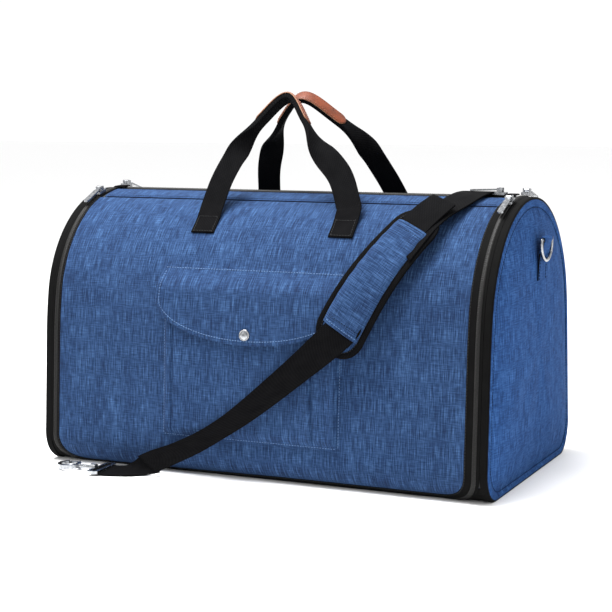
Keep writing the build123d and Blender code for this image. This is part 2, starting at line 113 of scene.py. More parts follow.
# ------------------------------------------------------------------------------ small helpers
def smooth_step(low: float, high: float, value: Array) -> Array:
    """Eases from 0 at low to 1 at high: t squared times (3 - 2t).

    Args:
        low: Value where the result is 0.
        high: Value where the result is 1.
        value: Values to ease.

    Returns:
        The eased values.
    """
    t = np.clip((np.asarray(value, float) - low) / (high - low), 0.0, 1.0)
    return t * t * (3.0 - 2.0 * t)


def edged(low: float, high: float, count: int, edge: float = 1.4) -> Array:
    """Even steps from low to high, with two extra rows close to each end for a crisp hem.

    Args:
        low: First value.
        high: Last value.
        count: Number of even steps.
        edge: Distance of the extra rows from each end.

    Returns:
        The values in order.
    """
    extra = [low + 0.3 * edge, low + edge, high - edge, high - 0.3 * edge]
    inner = np.linspace(low, high, count)
    inner = inner[(inner > low + 1.5 * edge) & (inner < high - 1.5 * edge)]
    return np.sort(np.concatenate([[low, high], extra, inner]))


def spread(first: Array, second: Array) -> list[Array]:
    """Every pair of two rows of values, as two grids."""
    return np.meshgrid(first, second, indexing="ij")


def hem(distance: Array, depth: float = 0.7, width: float = 1.5) -> Array:
    """How far a cloth's top drops towards its own edge, as a quarter circle.

    Args:
        distance: Distance from the nearest edge.
        depth: Drop at the edge.
        width: Distance over which the top rounds off.

    Returns:
        The drop, 0 away from the edge.
    """
    t = np.clip(1.0 - distance / width, 0.0, 1.0)
    return depth * (1.0 - np.sqrt(np.clip(1.0 - t * t, 0.0, 1.0)))


def unit(vectors: Array) -> Array:
    """Scales vectors to length 1."""
    return vectors / np.maximum(np.linalg.norm(vectors, axis=-1, keepdims=True), 1e-12)


def distances(points: Array) -> Array:
    """Distance along a polyline at each of its points, from 0."""
    return np.concatenate([[0.0], np.cumsum(np.linalg.norm(np.diff(points, axis=0), axis=1))])


def resample(points: Array, step: float) -> Array:
    """Points at even distances along a polyline, from its first point to its last.

    Args:
        points: The polyline, one row a point.
        step: Rough distance between the new points.

    Returns:
        The new points.
    """
    length = distances(points)
    at = np.linspace(0.0, length[-1], max(3, int(length[-1] / step) + 1))
    return np.stack([np.interp(at, length, column) for column in points.T], axis=1)


def flowing(points: Sequence[Sequence[float]], each: int = 16) -> Array:
    """A Catmull-Rom curve: a cubic through every point, its slope there half the next less the last.

    Args:
        points: Points to pass through.
        each: Samples between two points.

    Returns:
        Samples along the curve.
    """
    p = np.asarray(points, float)
    p = np.concatenate([[2 * p[0] - p[1]], p, [2 * p[-1] - p[-2]]])
    t = np.linspace(0.0, 1.0, each, endpoint=False)[None, :, None]
    a, b, c, d = (p[k : len(p) - 3 + k][:, None, :] for k in range(4))
    body = b + 0.5 * t * (c - a) + t**2 * (a - 2.5 * b + 2 * c - 0.5 * d)
    body = body + t**3 * (1.5 * (b - c) + 0.5 * (d - a))
    return np.concatenate([body.reshape(-1, p.shape[1]), p[-2:-1]])


# ------------------------------------------------------------------------------ the bag's surface
class Side(Enum):
    """The two wings of the wrap, with the sign of their Y."""

    FRONT = -1
    REAR = 1

    @property
    def word(self) -> str:
        """The wing's word in the names of bodies and nodes."""
        return self.name.lower()

    @property
    def wing(self) -> str:
        """The wing's body."""
        return f"{self.word}_wing"


class End(Enum):
    """The two end panels, with the sign of their X."""

    LEFT = -1
    RIGHT = 1

    @property
    def word(self) -> str:
        """The end's word in the names of bodies and nodes."""
        return self.name.lower()


@dataclass(frozen=True)
class BagForm:
    """The D section of the bag as a line of known bend: round crown, flat flanks, round feet.

    The line's slope is linear in s on each stretch, so y is the sum of its cosine and z falls by
    the sum of its sine.
    """

    bends: tuple[float, ...] = (0.0, 195.48, 245.74, 364.03, 419.81, 538.1)
    slopes: tuple[float, ...] = (0.0, 80.0, 86.0, 86.0, 180.0, 180.0)
    height: float = 320.0
    half_girth: float = 538.1
    step: float = 0.25

    def slope(self, s: Array) -> Array:
        """Angle of the surface's normal from straight up, in radians, at distance s."""
        return np.radians(np.interp(np.abs(s), self.bends, self.slopes))

    def table(self) -> tuple[Array, Array, Array]:
        """Distance, y and z along the section from the top to the middle of the underside."""
        s = np.arange(0.0, self.half_girth + self.step, self.step)
        mid = self.slope(s[:-1] + self.step / 2)
        y = np.concatenate([[0.0], np.cumsum(np.cos(mid)) * self.step])
        z = self.height - np.concatenate([[0.0], np.cumsum(np.sin(mid)) * self.step])
        return s, y, z

    def at_height(self, z: Array) -> Array:
        """Distance s of the point on the flank that is at height z."""
        s, _, heights = self.table()
        return np.interp(-np.asarray(z, float), -heights, s)

    def slack(self, x: Array, s: Array) -> Array:
        """Soft low waves of loose cloth: three sines of different spans, fading at every seam."""
        s = np.abs(s)
        waves = 0.9 * np.sin(x / 61 + s / 130 + 0.9) + 0.6 * np.sin(x / 33 - s / 74 + 2.1)
        waves = waves + 0.45 * np.sin(s / 27 + x / 190 + 0.4)
        fade = smooth_step(0, 46, 254 - np.abs(x)) * smooth_step(46, 120, s) * smooth_step(0, 60, 384 - s)
        return waves * fade

    def surface(self, x: Array, s: Array, lift: Array, side: int) -> Array:
        """Points that stand lift proud of the bag: section point plus lift times its normal.

        Args:
            x: Place along the bag.
            s: Distance over the cloth from the top zip; negative is over the top.
            lift: Distance out from the bag.
            side: -1 at the front and 1 at the rear.

        Returns:
            Points in metres, with one more axis than the inputs.
        """
        x, s, lift = np.broadcast_arrays(
            np.asarray(x, float), np.asarray(s, float), np.asarray(lift, float)
        )
        at, y, z = self.table()
        out = lift + self.slack(x, s)
        slope = self.slope(s)
        across = side * np.sign(s) * (np.interp(np.abs(s), at, y) + out * np.sin(slope))
        up = np.interp(np.abs(s), at, z) + out * np.cos(slope)
        return np.stack([x, across, np.maximum(up, 0.15)], axis=-1) * MM

    def normal(self, s: Array, side: int) -> Array:
        """Outward normals at distance s."""
        slope = self.slope(s)
        return np.stack([np.zeros_like(slope), side * np.sign(s) * np.sin(slope), np.cos(slope)], axis=-1)


FORM = BagForm()


# ------------------------------------------------------------------------------ meshes
class Rim(Enum):
    """The borders of a grid that a shell closes."""

    ALL = "all"
    OUTER_ROW = "outer_row"


def quads_of(index: Array) -> Array:
    """Faces between neighbouring rows and columns of a table of point indices."""
    corners = (index[:-1, :-1], index[1:, :-1], index[1:, 1:], index[:-1, 1:])
    return np.stack(corners, axis=-1).reshape(-1, 4)


def border(rows: int, columns: int, rim: Rim) -> Array:
    """Edges round a grid, or along its last row only, in the order its faces run.

    Args:
        rows: Number of rows.
        columns: Number of columns.
        rim: Which borders to follow.

    Returns:
        Pairs of point indices.
    """
    index = np.arange(rows * columns).reshape(rows, columns)
    if rim is Rim.OUTER_ROW:
        return np.stack([index[-1, :-1], index[-1, 1:]], axis=1)
    loop = np.concatenate([index[:, 0], index[-1, 1:], index[-2::-1, -1], index[0, -2::-1]])
    return np.stack([loop[:-1], loop[1:]], axis=1)


def piece(name: str, points: Array, faces: Array, uv: Array, finish: Finish, weld: bool = True) -> Piece:
    """Makes one mesh object with its own UV map, outward faces and closed seams.

    Args:
        name: The object's name.
        points: Corner positions in metres.
        faces: Quads as point indices; one whose first and last are the same point is a triangle.
        uv: A place on the cloth for each corner, in metres.
        finish: The finish, which also names the record's slot.
        weld: Whether doubled points are joined.

    Returns:
        The object, not yet riding on a body.
    """
    a, b, c, d = (points[faces[:, k]] for k in range(4))
    volume = np.einsum("ij,ij->i", a, np.cross(b, c)).sum() + np.einsum("ij,ij->i", a, np.cross(c, d)).sum()
    if volume < 0:
        faces = faces[:, ::-1]
    mesh = bpy.data.meshes.new(name)
    rows = [row[:-1] if row[0] == row[-1] else row for row in faces.tolist()]
    mesh.from_pydata(points.tolist(), [], rows)
    layer = mesh.uv_layers.new(name="Weave")
    corner = np.empty(len(mesh.loops), np.int64)
    mesh.loops.foreach_get("vertex_index", corner)
    layer.data.foreach_set("uv", uv[corner].astype(np.float32).ravel())
    if weld:
        work = bmesh.new()
        work.from_mesh(mesh)
        bmesh.ops.remove_doubles(work, verts=work.verts, dist=2e-6)
        work.to_mesh(mesh)
        work.free()
    mesh.polygons.foreach_set("use_smooth", np.ones(len(mesh.polygons), bool))
    mesh.materials.append(finish.material())
    made = bpy.data.objects.new(name, mesh)
    bpy.context.scene.collection.objects.link(made)
    LOG.info("%s: %d faces", name, len(mesh.polygons))
    return made


def shell(name: str, outer: Array, inner: Array, uv: Array, finish: Finish, rim: Rim = Rim.ALL) -> Piece:
    """A closed layer of cloth between two grids: outer faces, inner faces turned round, and a rim.

    Args:
        name: The object's name.
        outer: Outer points, rows by columns by 3.
        inner: Inner points of the same shape.
        uv: Place on the cloth, rows by columns by 2, in metres.
        finish: The finish.
        rim: Which borders to close.

    Returns:
        The object.
    """
    rows, columns = outer.shape[:2]
    count = rows * columns
    top = quads_of(np.arange(count).reshape(rows, columns))
    edge = border(rows, columns, rim)
    wall = np.stack([edge[:, 1], edge[:, 0], edge[:, 0] + count, edge[:, 1] + count], axis=1)
    faces = np.concatenate([top, top[:, ::-1] + count, wall])
    points = np.concatenate([outer.reshape(-1, 3), inner.reshape(-1, 3)])
    both = np.concatenate([uv.reshape(-1, 2)] * 2)
    return piece(name, points, faces, both, finish)


def cloth(
    name: str,
    x: Array,
    s: Array,
    top: Array,
    bottom: Array,
    side: int,
    finish: Finish,
    uv: Array | None = None,
) -> Piece:
    """A layer of cloth lying over the bag, from lift bottom to lift top.

    Args:
        name: The object's name.
        x: Place along the bag, rows by columns.
        s: Distance over the cloth, rows by columns.
        top: Lift of the outer face.
        bottom: Lift of the inner face.
        side: -1 at the front and 1 at the rear.
        finish: The finish.
        uv: Place on the cloth in mm, if it isn't (x, s).

    Returns:
        The object.
    """
    uv = (np.stack([x, s], axis=-1) if uv is None else uv) * MM
    return shell(name, FORM.surface(x, s, top, side), FORM.surface(x, s, bottom, side), uv, finish)


def slab(width: float, thick: float, count: int = 28, power: float = 5.0) -> Array:
    """Outline of a flat band: a superellipse, |u/a|^p + |v/b|^p = 1.

    Args:
        width: Full width.
        thick: Full thickness.
        count: Number of points round it.
        power: Squareness p.

    Returns:
        The outline's points.
    """
    turn = np.linspace(0.0, 2 * np.pi, count, endpoint=False)
    c, n = np.cos(turn), np.sin(turn)
    u = np.sign(c) * np.abs(c) ** (2 / power) * width / 2
    v = np.sign(n) * np.abs(n) ** (2 / power) * thick / 2
    return np.stack([u, v], axis=1)


def swept(
    name: str,
    centre: Array,
    across: Array,
    out: Array,
    outline: Array,
    finish: Finish,
    closed: bool = False,
) -> Piece:
    """An outline carried along a path: point = centre + u times across + v times out.

    Args:
        name: The object's name.
        centre: Path points in metres.
        across: Unit vectors of the outline's first axis.
        out: Unit vectors of the outline's second axis.
        outline: Outline in mm, points by 2, or one for each path point.
        finish: The finish.
        closed: Whether the path is a loop.

    Returns:
        The object.
    """
    steps = len(centre)
    if outline.ndim == 2:
        outline = np.broadcast_to(outline, (steps, *outline.shape))
    around = outline.shape[1]
    flat = outline * MM
    rings = centre[:, None, :] + flat[..., :1] * across[:, None, :] + flat[..., 1:] * out[:, None, :]
    length = distances(centre)
    uv = np.stack([flat[..., 0], np.broadcast_to(length[:, None], (steps, around))], axis=-1)
    index = np.arange(steps * around).reshape(steps, around)
    if closed:
        index = np.concatenate([index, index[:1]])
    index = np.concatenate([index, index[:, :1]], axis=1)
    faces = [quads_of(index)]
    points, places = [rings.reshape(-1, 3)], [uv.reshape(-1, 2)]
    if not closed:
        for row, turn in ((0, 1), (steps - 1, -1)):
            hub = steps * around + len(points) - 1
            points.append(rings[row].mean(0, keepdims=True))
            places.append(uv[row].mean(0, keepdims=True))
            ring = index[row]
            cap = np.stack([np.full(around, hub), ring[:-1], ring[1:], np.full(around, hub)], axis=1)
            faces.append(cap[:, ::turn])
    quads = np.concatenate(faces)
    return piece(name, np.concatenate(points), quads, np.concatenate(places), finish, weld=False)


def stitches(
    name: str,
    path: Array,
    normals: Array,
    finish: Finish,
    pitch: float = 3.4,
    length: float = 2.5,
    radius: float = 0.36,
) -> Piece:
    """A row of thread: one short capsule a stitch, laid along the path at even steps.

    Args:
        name: The object's name.
        path: Path points in metres.
        normals: Surface normals at the path points.
        finish: The thread's finish.
        pitch: Distance from stitch to stitch.
        length: Length of a stitch.
        radius: Thread radius.

    Returns:
        The object.
    """
    both = resample(np.concatenate([path / MM, normals], axis=1), pitch / 2)
    spots = both[1:-1:2]
    ahead = unit(both[2::2][: len(spots), :3] - both[0:-2:2][: len(spots), :3])
    out = unit(spots[:, 3:])
    across = np.cross(ahead, out)
    along = np.array([-0.5, -0.34, 0.34, 0.5]) * length
    size = np.array([0.25, 1.0, 1.0, 0.25]) * radius
    turn = np.linspace(0.0, 2 * np.pi, 6, endpoint=False)
    ring = np.cos(turn)[None, None, :, None] * across[:, None, None, :]
    ring = ring + np.sin(turn)[None, None, :, None] * out[:, None, None, :]
    dots = spots[:, None, None, :3] + along[None, :, None, None] * ahead[:, None, None, :]
    dots = (dots + size[None, :, None, None] * ring) * MM
    local = np.arange(24).reshape(4, 6)
    local = np.concatenate([local, local[:, :1]], axis=1)
    quads = quads_of(local)
    ends = np.array([[0, 1, 2, 3], [0, 3, 4, 5], [21, 20, 19, 18], [23, 22, 21, 18]])
    one = np.concatenate([quads, ends])
    faces = (one[None] + 24 * np.arange(len(spots))[:, None, None]).reshape(-1, 4)
    points = dots.reshape(-1, 3)
    return piece(name, points, faces, points[:, [0, 2]], finish, weld=False)


def sewn(
    name: str, x: Array, s: Array, lift: Array, side: int, finish: Finish, radius: float = 0.36
) -> Piece:
    """A row of stitches over the bag's surface.

    Args:
        name: The object's name.
        x: Place along the bag at each point of the row.
        s: Distance over the cloth at each point.
        lift: Distance out from the bag.
        side: -1 at the front and 1 at the rear.
        finish: The thread's finish.
        radius: Thread radius.

    Returns:
        The object.
    """
    return stitches(name, FORM.surface(x, s, lift, side), FORM.normal(s, side), finish, radius=radius)


# ------------------------------------------------------------------------------ finishes
def linear(code: str) -> tuple[float, float, float, float]:
    """Turns an sRGB hex colour into a linear one: ((c + 0.055) / 1.055) to the power 2.4."""
    parts = [int(code[k : k + 2], 16) / 255 for k in (1, 3, 5)]
    made = [c / 12.92 if c <= 0.04045 else ((c + 0.055) / 1.055) ** 2.4 for c in parts]
    return (made[0], made[1], made[2], 1.0)


def add_node(tree: Tree, kind: str, inputs: dict | None = None, **settings: object) -> Node:
    """Adds a node, sets its properties, and sets or links its inputs.

    Args:
        tree: The node tree.
        kind: The node's type.
        inputs: Value or output socket for each input.
        settings: Properties of the node.

    Returns:
        The node.
    """
    made = tree.nodes.new(kind)
    for key, value in settings.items():
        setattr(made, key, value)
    for key, value in (inputs or {}).items():
        if isinstance(value, Socket):
            tree.links.new(value, made.inputs[key])
        else:
            made.inputs[key].default_value = value
    return made


def ramp(node: Node, stops: Sequence[tuple[float, str]]) -> Socket:
    """Sets a colour ramp's stops and returns its colour output."""
    elements = node.color_ramp.elements
    while len(elements) < len(stops):
        elements.new(0.5)
    for element, (place, code) in zip(elements, stops):
        element.position = place
        element.color = linear(code)
    return node.outputs["Color"]


@dataclass(frozen=True)
class Finish:
    """A finish: its name, the record's slot, and the shader values that are the same all over."""

    name: str
    slot: str
    roughness: float = 0.8
    specular: float = 0.4
    sheen: float = 0.0
    metallic: float = 0.0

    def material(self) -> bpy.types.Material:
        """The finish's material, made the first time it is asked for."""
        known = bpy.data.materials.get(self.name)
        if known:
            return known
        made = bpy.data.materials.new(self.name)
        made.use_nodes = True
        tree = made.node_tree
        tree.nodes.clear()
        shader = add_node(tree, "ShaderNodeBsdfPrincipled")
        shader.inputs["Roughness"].default_value = self.roughness
        shader.inputs["Metallic"].default_value = self.metallic
        shader.inputs["Specular IOR Level"].default_value = self.specular
        shader.inputs["Sheen Weight"].default_value = self.sheen
        self.paint(tree, shader)
        add_node(tree, "ShaderNodeOutputMaterial", {"Surface": shader.outputs[0]})
        return made

    def paint(self, tree: Tree, shader: Node) -> None:
        """Adds the finish's own pattern; each finish has its own."""
        raise NotImplementedError

    def place(self, tree: Tree, scale: tuple[float, float, float]) -> Socket:
        """The piece's own cloth map, scaled in features a metre."""
        source = add_node(tree, "ShaderNodeUVMap", uv_map="Weave").outputs[0]
        return add_node(tree, "ShaderNodeMapping", {"Vector": source, "Scale": scale}).outputs[0]

    def dress(
        self,
        tree: Tree,
        shader: Node,
        tone: Socket,
        stops: Sequence[tuple[float, str]],
        relief: Socket,
        strength: float,
        depth: float,
    ) -> None:
        """Colours the finish by its tone and raises it by its relief.

        Args:
            tree: The node tree.
            shader: The main shader.
            tone: Value that runs through the colours.
            stops: Place and sRGB hex code of each colour.
            relief: Height of the pattern.
            strength: Strength of the bump.
            depth: Depth of the bump in metres.
        """
        colour = ramp(add_node(tree, "ShaderNodeValToRGB", {"Fac": tone}), stops)
        tree.links.new(colour, shader.inputs["Base Color"])
        bump = add_node(tree, "ShaderNodeBump", {"Height": relief, "Strength": strength, "Distance": depth})
        tree.links.new(bump.outputs[0], shader.inputs["Normal"])


@dataclass(frozen=True)
class SlubCloth(Finish):
    """Two-tone polyester woven with slub yarn: uneven warp threads give it a denim-like streak."""

    dark: str = "#0C142A"
    mid: str = "#1B2F4E"
    light: str = "#3A567C"

    def paint(self, tree: Tree, shader: Node) -> None:
        """Long thin warp streaks, finer weft threads, soft tone patches and a plain-weave bump.

        Threads are 0.3 mm in the real cloth; they are drawn 1 to 1.5 mm wide so that they show.
        """
        yarns = []
        kinds = (((880, 48, 1), 3.0, 0.6), ((80, 780, 1), 1.5, 0.6), ((46, 13, 1), 2.0, 0.5))
        for scale, detail, rough in kinds:
            yarn = {"Vector": self.place(tree, scale), "Scale": 1.0, "Detail": detail, "Roughness": rough}
            yarns.append(add_node(tree, "ShaderNodeTexNoise", yarn).outputs["Fac"])
        warp, weft, patch = yarns
        streak = add_node(tree, "ShaderNodeMix", {"Factor": 0.3, "A": warp, "B": weft})
        tone = add_node(tree, "ShaderNodeMix", {"Factor": 0.12, "A": streak.outputs["Result"], "B": patch})
        threads = {"Vector": self.place(tree, (1, 1, 1)), "Scale": 260.0}
        over = add_node(tree, "ShaderNodeTexWave", threads)
        under = add_node(tree, "ShaderNodeTexWave", threads, bands_direction="Y")
        crossing = {0: over.outputs["Fac"], 1: under.outputs["Fac"]}
        weave = add_node(tree, "ShaderNodeMath", crossing, operation="MULTIPLY")
        lumps = {0: weave.outputs[0], 1: tone.outputs["Result"]}
        height = add_node(tree, "ShaderNodeMath", lumps, operation="ADD")
        stops = ((0.33, self.dark), (0.5, self.mid), (0.69, self.light))
        self.dress(tree, shader, tone.outputs["Result"], stops, height.outputs[0], 0.55, 0.0005)


@dataclass(frozen=True)
class RibbedWebbing(Finish):
    """Woven polypropylene or nylon tape: fine ribs across it and a faint herringbone."""

    dark: str = "#020203"
    light: str = "#0D0D0E"
    ribs: float = 190.0

    def paint(self, tree: Tree, shader: Node) -> None:
        """Ribs across the tape at 1.6 mm, slanted threads between them, and dusty wear."""
        ribs = {"Vector": self.place(tree, (1, 1, 1)), "Scale": self.ribs, "Distortion": 0.6}
        across = add_node(tree, "ShaderNodeTexWave", ribs, bands_direction="Y")
        threads = {"Vector": self.place(tree, (1, 1, 1)), "Scale": self.ribs * 0.9}
        slant = add_node(tree, "ShaderNodeTexWave", threads, bands_direction="DIAGONAL")
        wear = {"Vector": self.place(tree, (90, 60, 1)), "Scale": 1.0, "Detail": 4.0}
        dust = add_node(tree, "ShaderNodeTexNoise", wear)
        crossing = {0: across.outputs["Fac"], 1: slant.outputs["Fac"]}
        both = add_node(tree, "ShaderNodeMath", crossing, operation="MULTIPLY")
        mix = {"Factor": 0.5, "A": both.outputs[0], "B": dust.outputs["Fac"]}
        tone = add_node(tree, "ShaderNodeMix", mix)
        stops = ((0.1, self.dark), (0.75, self.light))
        self.dress(tree, shader, tone.outputs["Result"], stops, both.outputs[0], 0.5, 0.0004)


@dataclass(frozen=True)
class Leather(Finish):
    """Smooth tan hide with an aniline finish: fine pores, soft mottling and a slight polish."""

    dark: str = "#3A1809"
    light: str = "#5E2A12"

    def paint(self, tree: Tree, shader: Node) -> None:
        """Mottled colour over pebbles about 1 mm across."""
        where = add_node(tree, "ShaderNodeTexCoord").outputs["Object"]
        grain = add_node(tree, "ShaderNodeTexVoronoi", {"Vector": where, "Scale": 900.0})
        mottle = add_node(tree, "ShaderNodeTexNoise", {"Vector": where, "Scale": 90.0, "Detail": 4.0})
        mix = {"Factor": 0.35, "A": mottle.outputs["Fac"], "B": grain.outputs["Distance"]}
        tone = add_node(tree, "ShaderNodeMix", mix)
        stops = ((0.3, self.dark), (0.62, self.light))
        self.dress(tree, shader, tone.outputs["Result"], stops, grain.outputs["Distance"], 0.35, 0.0003)


@dataclass(frozen=True)
class Thread(Finish):
    """Twisted polyester thread: a fine diagonal twist and a slight shine."""

    dark: str = "#2B4668"
    light: str = "#48678E"

    def paint(self, tree: Tree, shader: Node) -> None:
        """Two close tones by noise at 1 mm, with the same noise as bump."""
        where = add_node(tree, "ShaderNodeTexCoord").outputs["Object"]
        twist = add_node(tree, "ShaderNodeTexNoise", {"Vector": where, "Scale": 900.0, "Detail": 1.0})
        stops = ((0.35, self.dark), (0.65, self.light))
        self.dress(tree, shader, twist.outputs["Fac"], stops, twist.outputs["Fac"], 0.3, 0.0002)


@dataclass(frozen=True)
class NickelPlate(Finish):
    """Zinc alloy cast, tumbled and nickel plated: bright, with soft polishing marks."""

    dark: str = "#75777A"
    light: str = "#9EA0A3"

    def paint(self, tree: Tree, shader: Node) -> None:
        """Slight tone and roughness changes from polishing, 3 mm across, and a trace of waviness."""
        where = add_node(tree, "ShaderNodeTexCoord").outputs["Object"]
        rub = add_node(tree, "ShaderNodeTexNoise", {"Vector": where, "Scale": 320.0, "Detail": 3.0})
        span = {"Value": rub.outputs["Fac"], "To Min": 0.16, "To Max": 0.34}
        rough = add_node(tree, "ShaderNodeMapRange", span)
        tree.links.new(rough.outputs[0], shader.inputs["Roughness"])
        stops = ((0.3, self.dark), (0.7, self.light))
        self.dress(tree, shader, rub.outputs["Fac"], stops, rub.outputs["Fac"], 0.02, 0.0002)


BLUE_CLOTH = SlubCloth("Slub_Polyester_Blue", "blue_cloth", 0.92, 0.1)
# A copy of the same cloth for the flat ends, painted a brighter, more saturated blue to make up for how the
# light falls on them: painted light, not a different cloth.
BLUE_CLOTH_PAINTED_FOR_ENDS = SlubCloth(
    "Slub_Polyester_Blue_Ends", "blue_cloth", 0.92, 0.06, dark="#0F1D40", mid="#1F3C68", light="#3E659C"
)
BLACK_WEBBING = RibbedWebbing("Webbing_Black", "black_webbing", 0.85, 0.03)
ZIP_TAPE = RibbedWebbing(
    "Zip_Tape_Black", "zip_tape", 0.85, 0.06, dark="#020202", light="#0A0A0A", ribs=240.0
)
ZIP_COIL = RibbedWebbing(
    "Zip_Coil_Nylon", "zip_tape", 0.55, 0.2, dark="#050505", light="#151413", ribs=130.0
)
LINING = RibbedWebbing(
    "Lining_Taffeta", "lining_cloth", 0.6, 0.35, dark="#131314", light="#2A2B2D", ribs=320.0
)
LEATHER = Leather("Leather_Tan", "leather", 0.5, 0.25)
LEATHER_EDGE = Leather("Leather_Cut_Edge", "leather", 0.6, 0.3, dark="#4E3020", light="#74523A")
BLUE_THREAD = Thread("Thread_Blue", "blue_cloth", 0.55, 0.4)
NAVY_THREAD = Thread("Thread_Navy", "blue_cloth", 0.85, 0.05, dark="#04060E", light="#0A1124")
BLACK_THREAD = Thread("Thread_Black", "black_webbing", 0.6, 0.2, dark="#0A0A0B", light="#1C1C1E")
TAN_THREAD = Thread("Thread_Tan", "leather", 0.5, 0.4, dark="#5E2C1B", light="#8C5940")
NICKEL = NickelPlate("Nickel_Plate", "nickel", 0.24, 0.5, metallic=1.0)


# ------------------------------------------------------------------------------ sub-assemblies
@dataclass
class Wing:
    """One curved wing of the wrap, with its facing, zips and lining."""

    side: Side
    length: float = 256.0
    tape_edge: float = 254.0
    facing_from: float = 12.0
    facing_to: float = 45.3
    cloth_from: float = 46.9
    cloth_left: float = 265.0
    cloth_to: float = 402.0
    band_middle: float = 263.0
    band_half: float = 9.0
    band_low: float = 405.0
    band_left: float = 2.6
    band_bend: float = 38.0
    coil_offset: float = 3.0
    coil_half: float = 3.0
    coil_step: float = 0.6
    tooth: float = 2.4
    corner_reach: float = 43.0
    corner_bend: float = 43.5
    lining_half: float = 272.0
    lining_to: float = 380.8

    def own(self, made: Piece, *nodes: str) -> Piece:
        """Puts a piece on this wing in place of the CAD nodes."""
        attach(made, self.side.wing)
        if nodes:
            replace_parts(made, *nodes)
        return made

    def over_fold(self, made: Piece, *nodes: str) -> Piece:
        """Bakes a piece's placement into its mesh and hides the CAD nodes it stands in for."""
        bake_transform(made)
        if nodes:
            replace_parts(made, *nodes)
        return made

    def band_path(self, step: float) -> tuple[Array, Array]:
        """Middle of the zip band: down one end, round a corner, along the foot and up again.

        Args:
            step: Distance between points.

        Returns:
            Points (x, s) and unit vectors to the outside of the band.
        """
        turn_x = self.band_middle - self.band_bend
        turn_s = self.band_low - self.band_bend
        turn = np.radians(np.linspace(0, 90, 40))[:, None]
        corner = np.concatenate([np.cos(turn), np.sin(turn)], axis=1)
        right = np.array([turn_x, turn_s]) + self.band_bend * corner
        start = np.array([[self.band_middle, 0.0]])
        half = np.concatenate([start, right])
        other = half[::-1] * np.array([-1.0, 1.0])
        line = resample(np.concatenate([half, other]), step)
        ahead = unit(np.gradient(line, axis=0))
        return line, np.stack([ahead[:, 1], -ahead[:, 0]], axis=1)

    def backing(self) -> Piece:
        """The inner layer of the wing, which shows as lining when the bag is open."""
        first = -6.0 if self.side is Side.FRONT else 6.4
        x, s = spread(edged(-self.lining_half, self.lining_half, 60), edged(first, self.lining_to, 90))
        made = cloth(f"{self.side.word}_lining_layer", x, s, -0.1, -4.4, self.side.value, LINING)
        return self.own(made, f"{self.side.word}_panel", f"{self.side.word}_lining")

    def main_cloth(self) -> Piece:
        """The wing's outer cloth, from the facing's seam to the zip band at its foot."""
        x, v = spread(edged(-self.cloth_left, self.length, 130), edged(0, 1, 120, 0.006))
        over = np.clip(np.abs(x) - (self.band_middle - self.band_bend), 0, self.corner_reach)
        corner = self.band_low - self.band_bend + np.sqrt(self.corner_bend**2 - over**2)
        low = np.minimum(self.cloth_to, corner)
        s = self.cloth_from + (low - self.cloth_from) * v
        top = 1.3 - hem(s - self.cloth_from, 1.1, 3.0)
        made = cloth(f"{self.side.word}_wing_cloth", x, s, top, -0.05, self.side.value, BLUE_CLOTH)
        return self.over_fold(made)

    def facing(self) -> Piece:
        """The seamed strip of cloth beside the top zip, with a turned edge."""
        x, s = spread(edged(-self.length, self.length, 70), edged(self.facing_from, self.facing_to, 18))
        top = 1.9 - hem(s - self.facing_from, 0.9, 2.0) - hem(self.facing_to - s, 1.3, 2.5)
        made = cloth(f"{self.side.word}_zip_facing", x, s, top, 0.0, self.side.value, BLUE_CLOTH)
        return self.own(made, f"{self.side.word}_facing")

    def facing_seam(self) -> None:
        """The sunken line of dark thread and folded cloth where the facing joins the wing."""
        run = edged(self.facing_to - 1.0, self.cloth_from + 1.0, 4)
        x, s = spread(edged(-self.length, self.length, 70), run)
        self.own(cloth(f"{self.side.word}_facing_seam", x, s, 0.35, -0.05, self.side.value, NAVY_THREAD))

    def top_tape(self) -> None:
        """The top zip's tape, and on the front wing the coil that its slider runs on."""
        low, high = (-6.0, 13.0) if self.side is Side.FRONT else (6.3, 13.0)
        x, s = spread(edged(-self.tape_edge, self.tape_edge, 60), edged(low, high, 10, 0.6))
        made = cloth(f"{self.side.word}_top_zip_tape", x, s, 1.1, -0.05, self.side.value, ZIP_TAPE)
        self.own(made, f"{self.side.word}_top_tape")
        if self.side is Side.FRONT:
            run = np.arange(-self.tape_edge, self.tape_edge, self.coil_step)
            line = np.stack([run, np.zeros_like(run)], axis=1)
            out = np.tile([0.0, 1.0], (len(line), 1))
            self.own(self.coil("top_zip_coil", line, out))

    def coil(self, name: str, line: Array, out: Array) -> Piece:
        """The meshed coil: a half-round ridge whose height steps down between slanted teeth.

        Args:
            name: The object's name.
            line: The coil's middle, as (x, s).
            out: Unit vectors across it.

        Returns:
            The object.
        """
        w = np.linspace(-1.0, 1.0, 9)[None, :]
        length = distances(line)[:, None]
        slant = (length + 1.2 * np.abs(w)) / self.tooth
        ridge = np.clip(2.2 * np.cos(2 * np.pi * (slant + 0.25 * np.sign(w))), -1, 1)
        x = line[:, :1] + self.coil_half * w * out[:, :1]
        s = line[:, 1:] + self.coil_half * w * out[:, 1:]
        groove = 1 - 0.25 * np.exp(-((w / 0.12) ** 2))
        top = 1.05 + np.sqrt(np.clip(1 - w**2, 0, 1)) * (1.75 + 0.38 * ridge) * groove
        uv = np.stack(np.broadcast_arrays(self.coil_half * w, length), axis=-1)
        return cloth(name, x, s, top, 0.9, self.side.value, ZIP_COIL, uv)

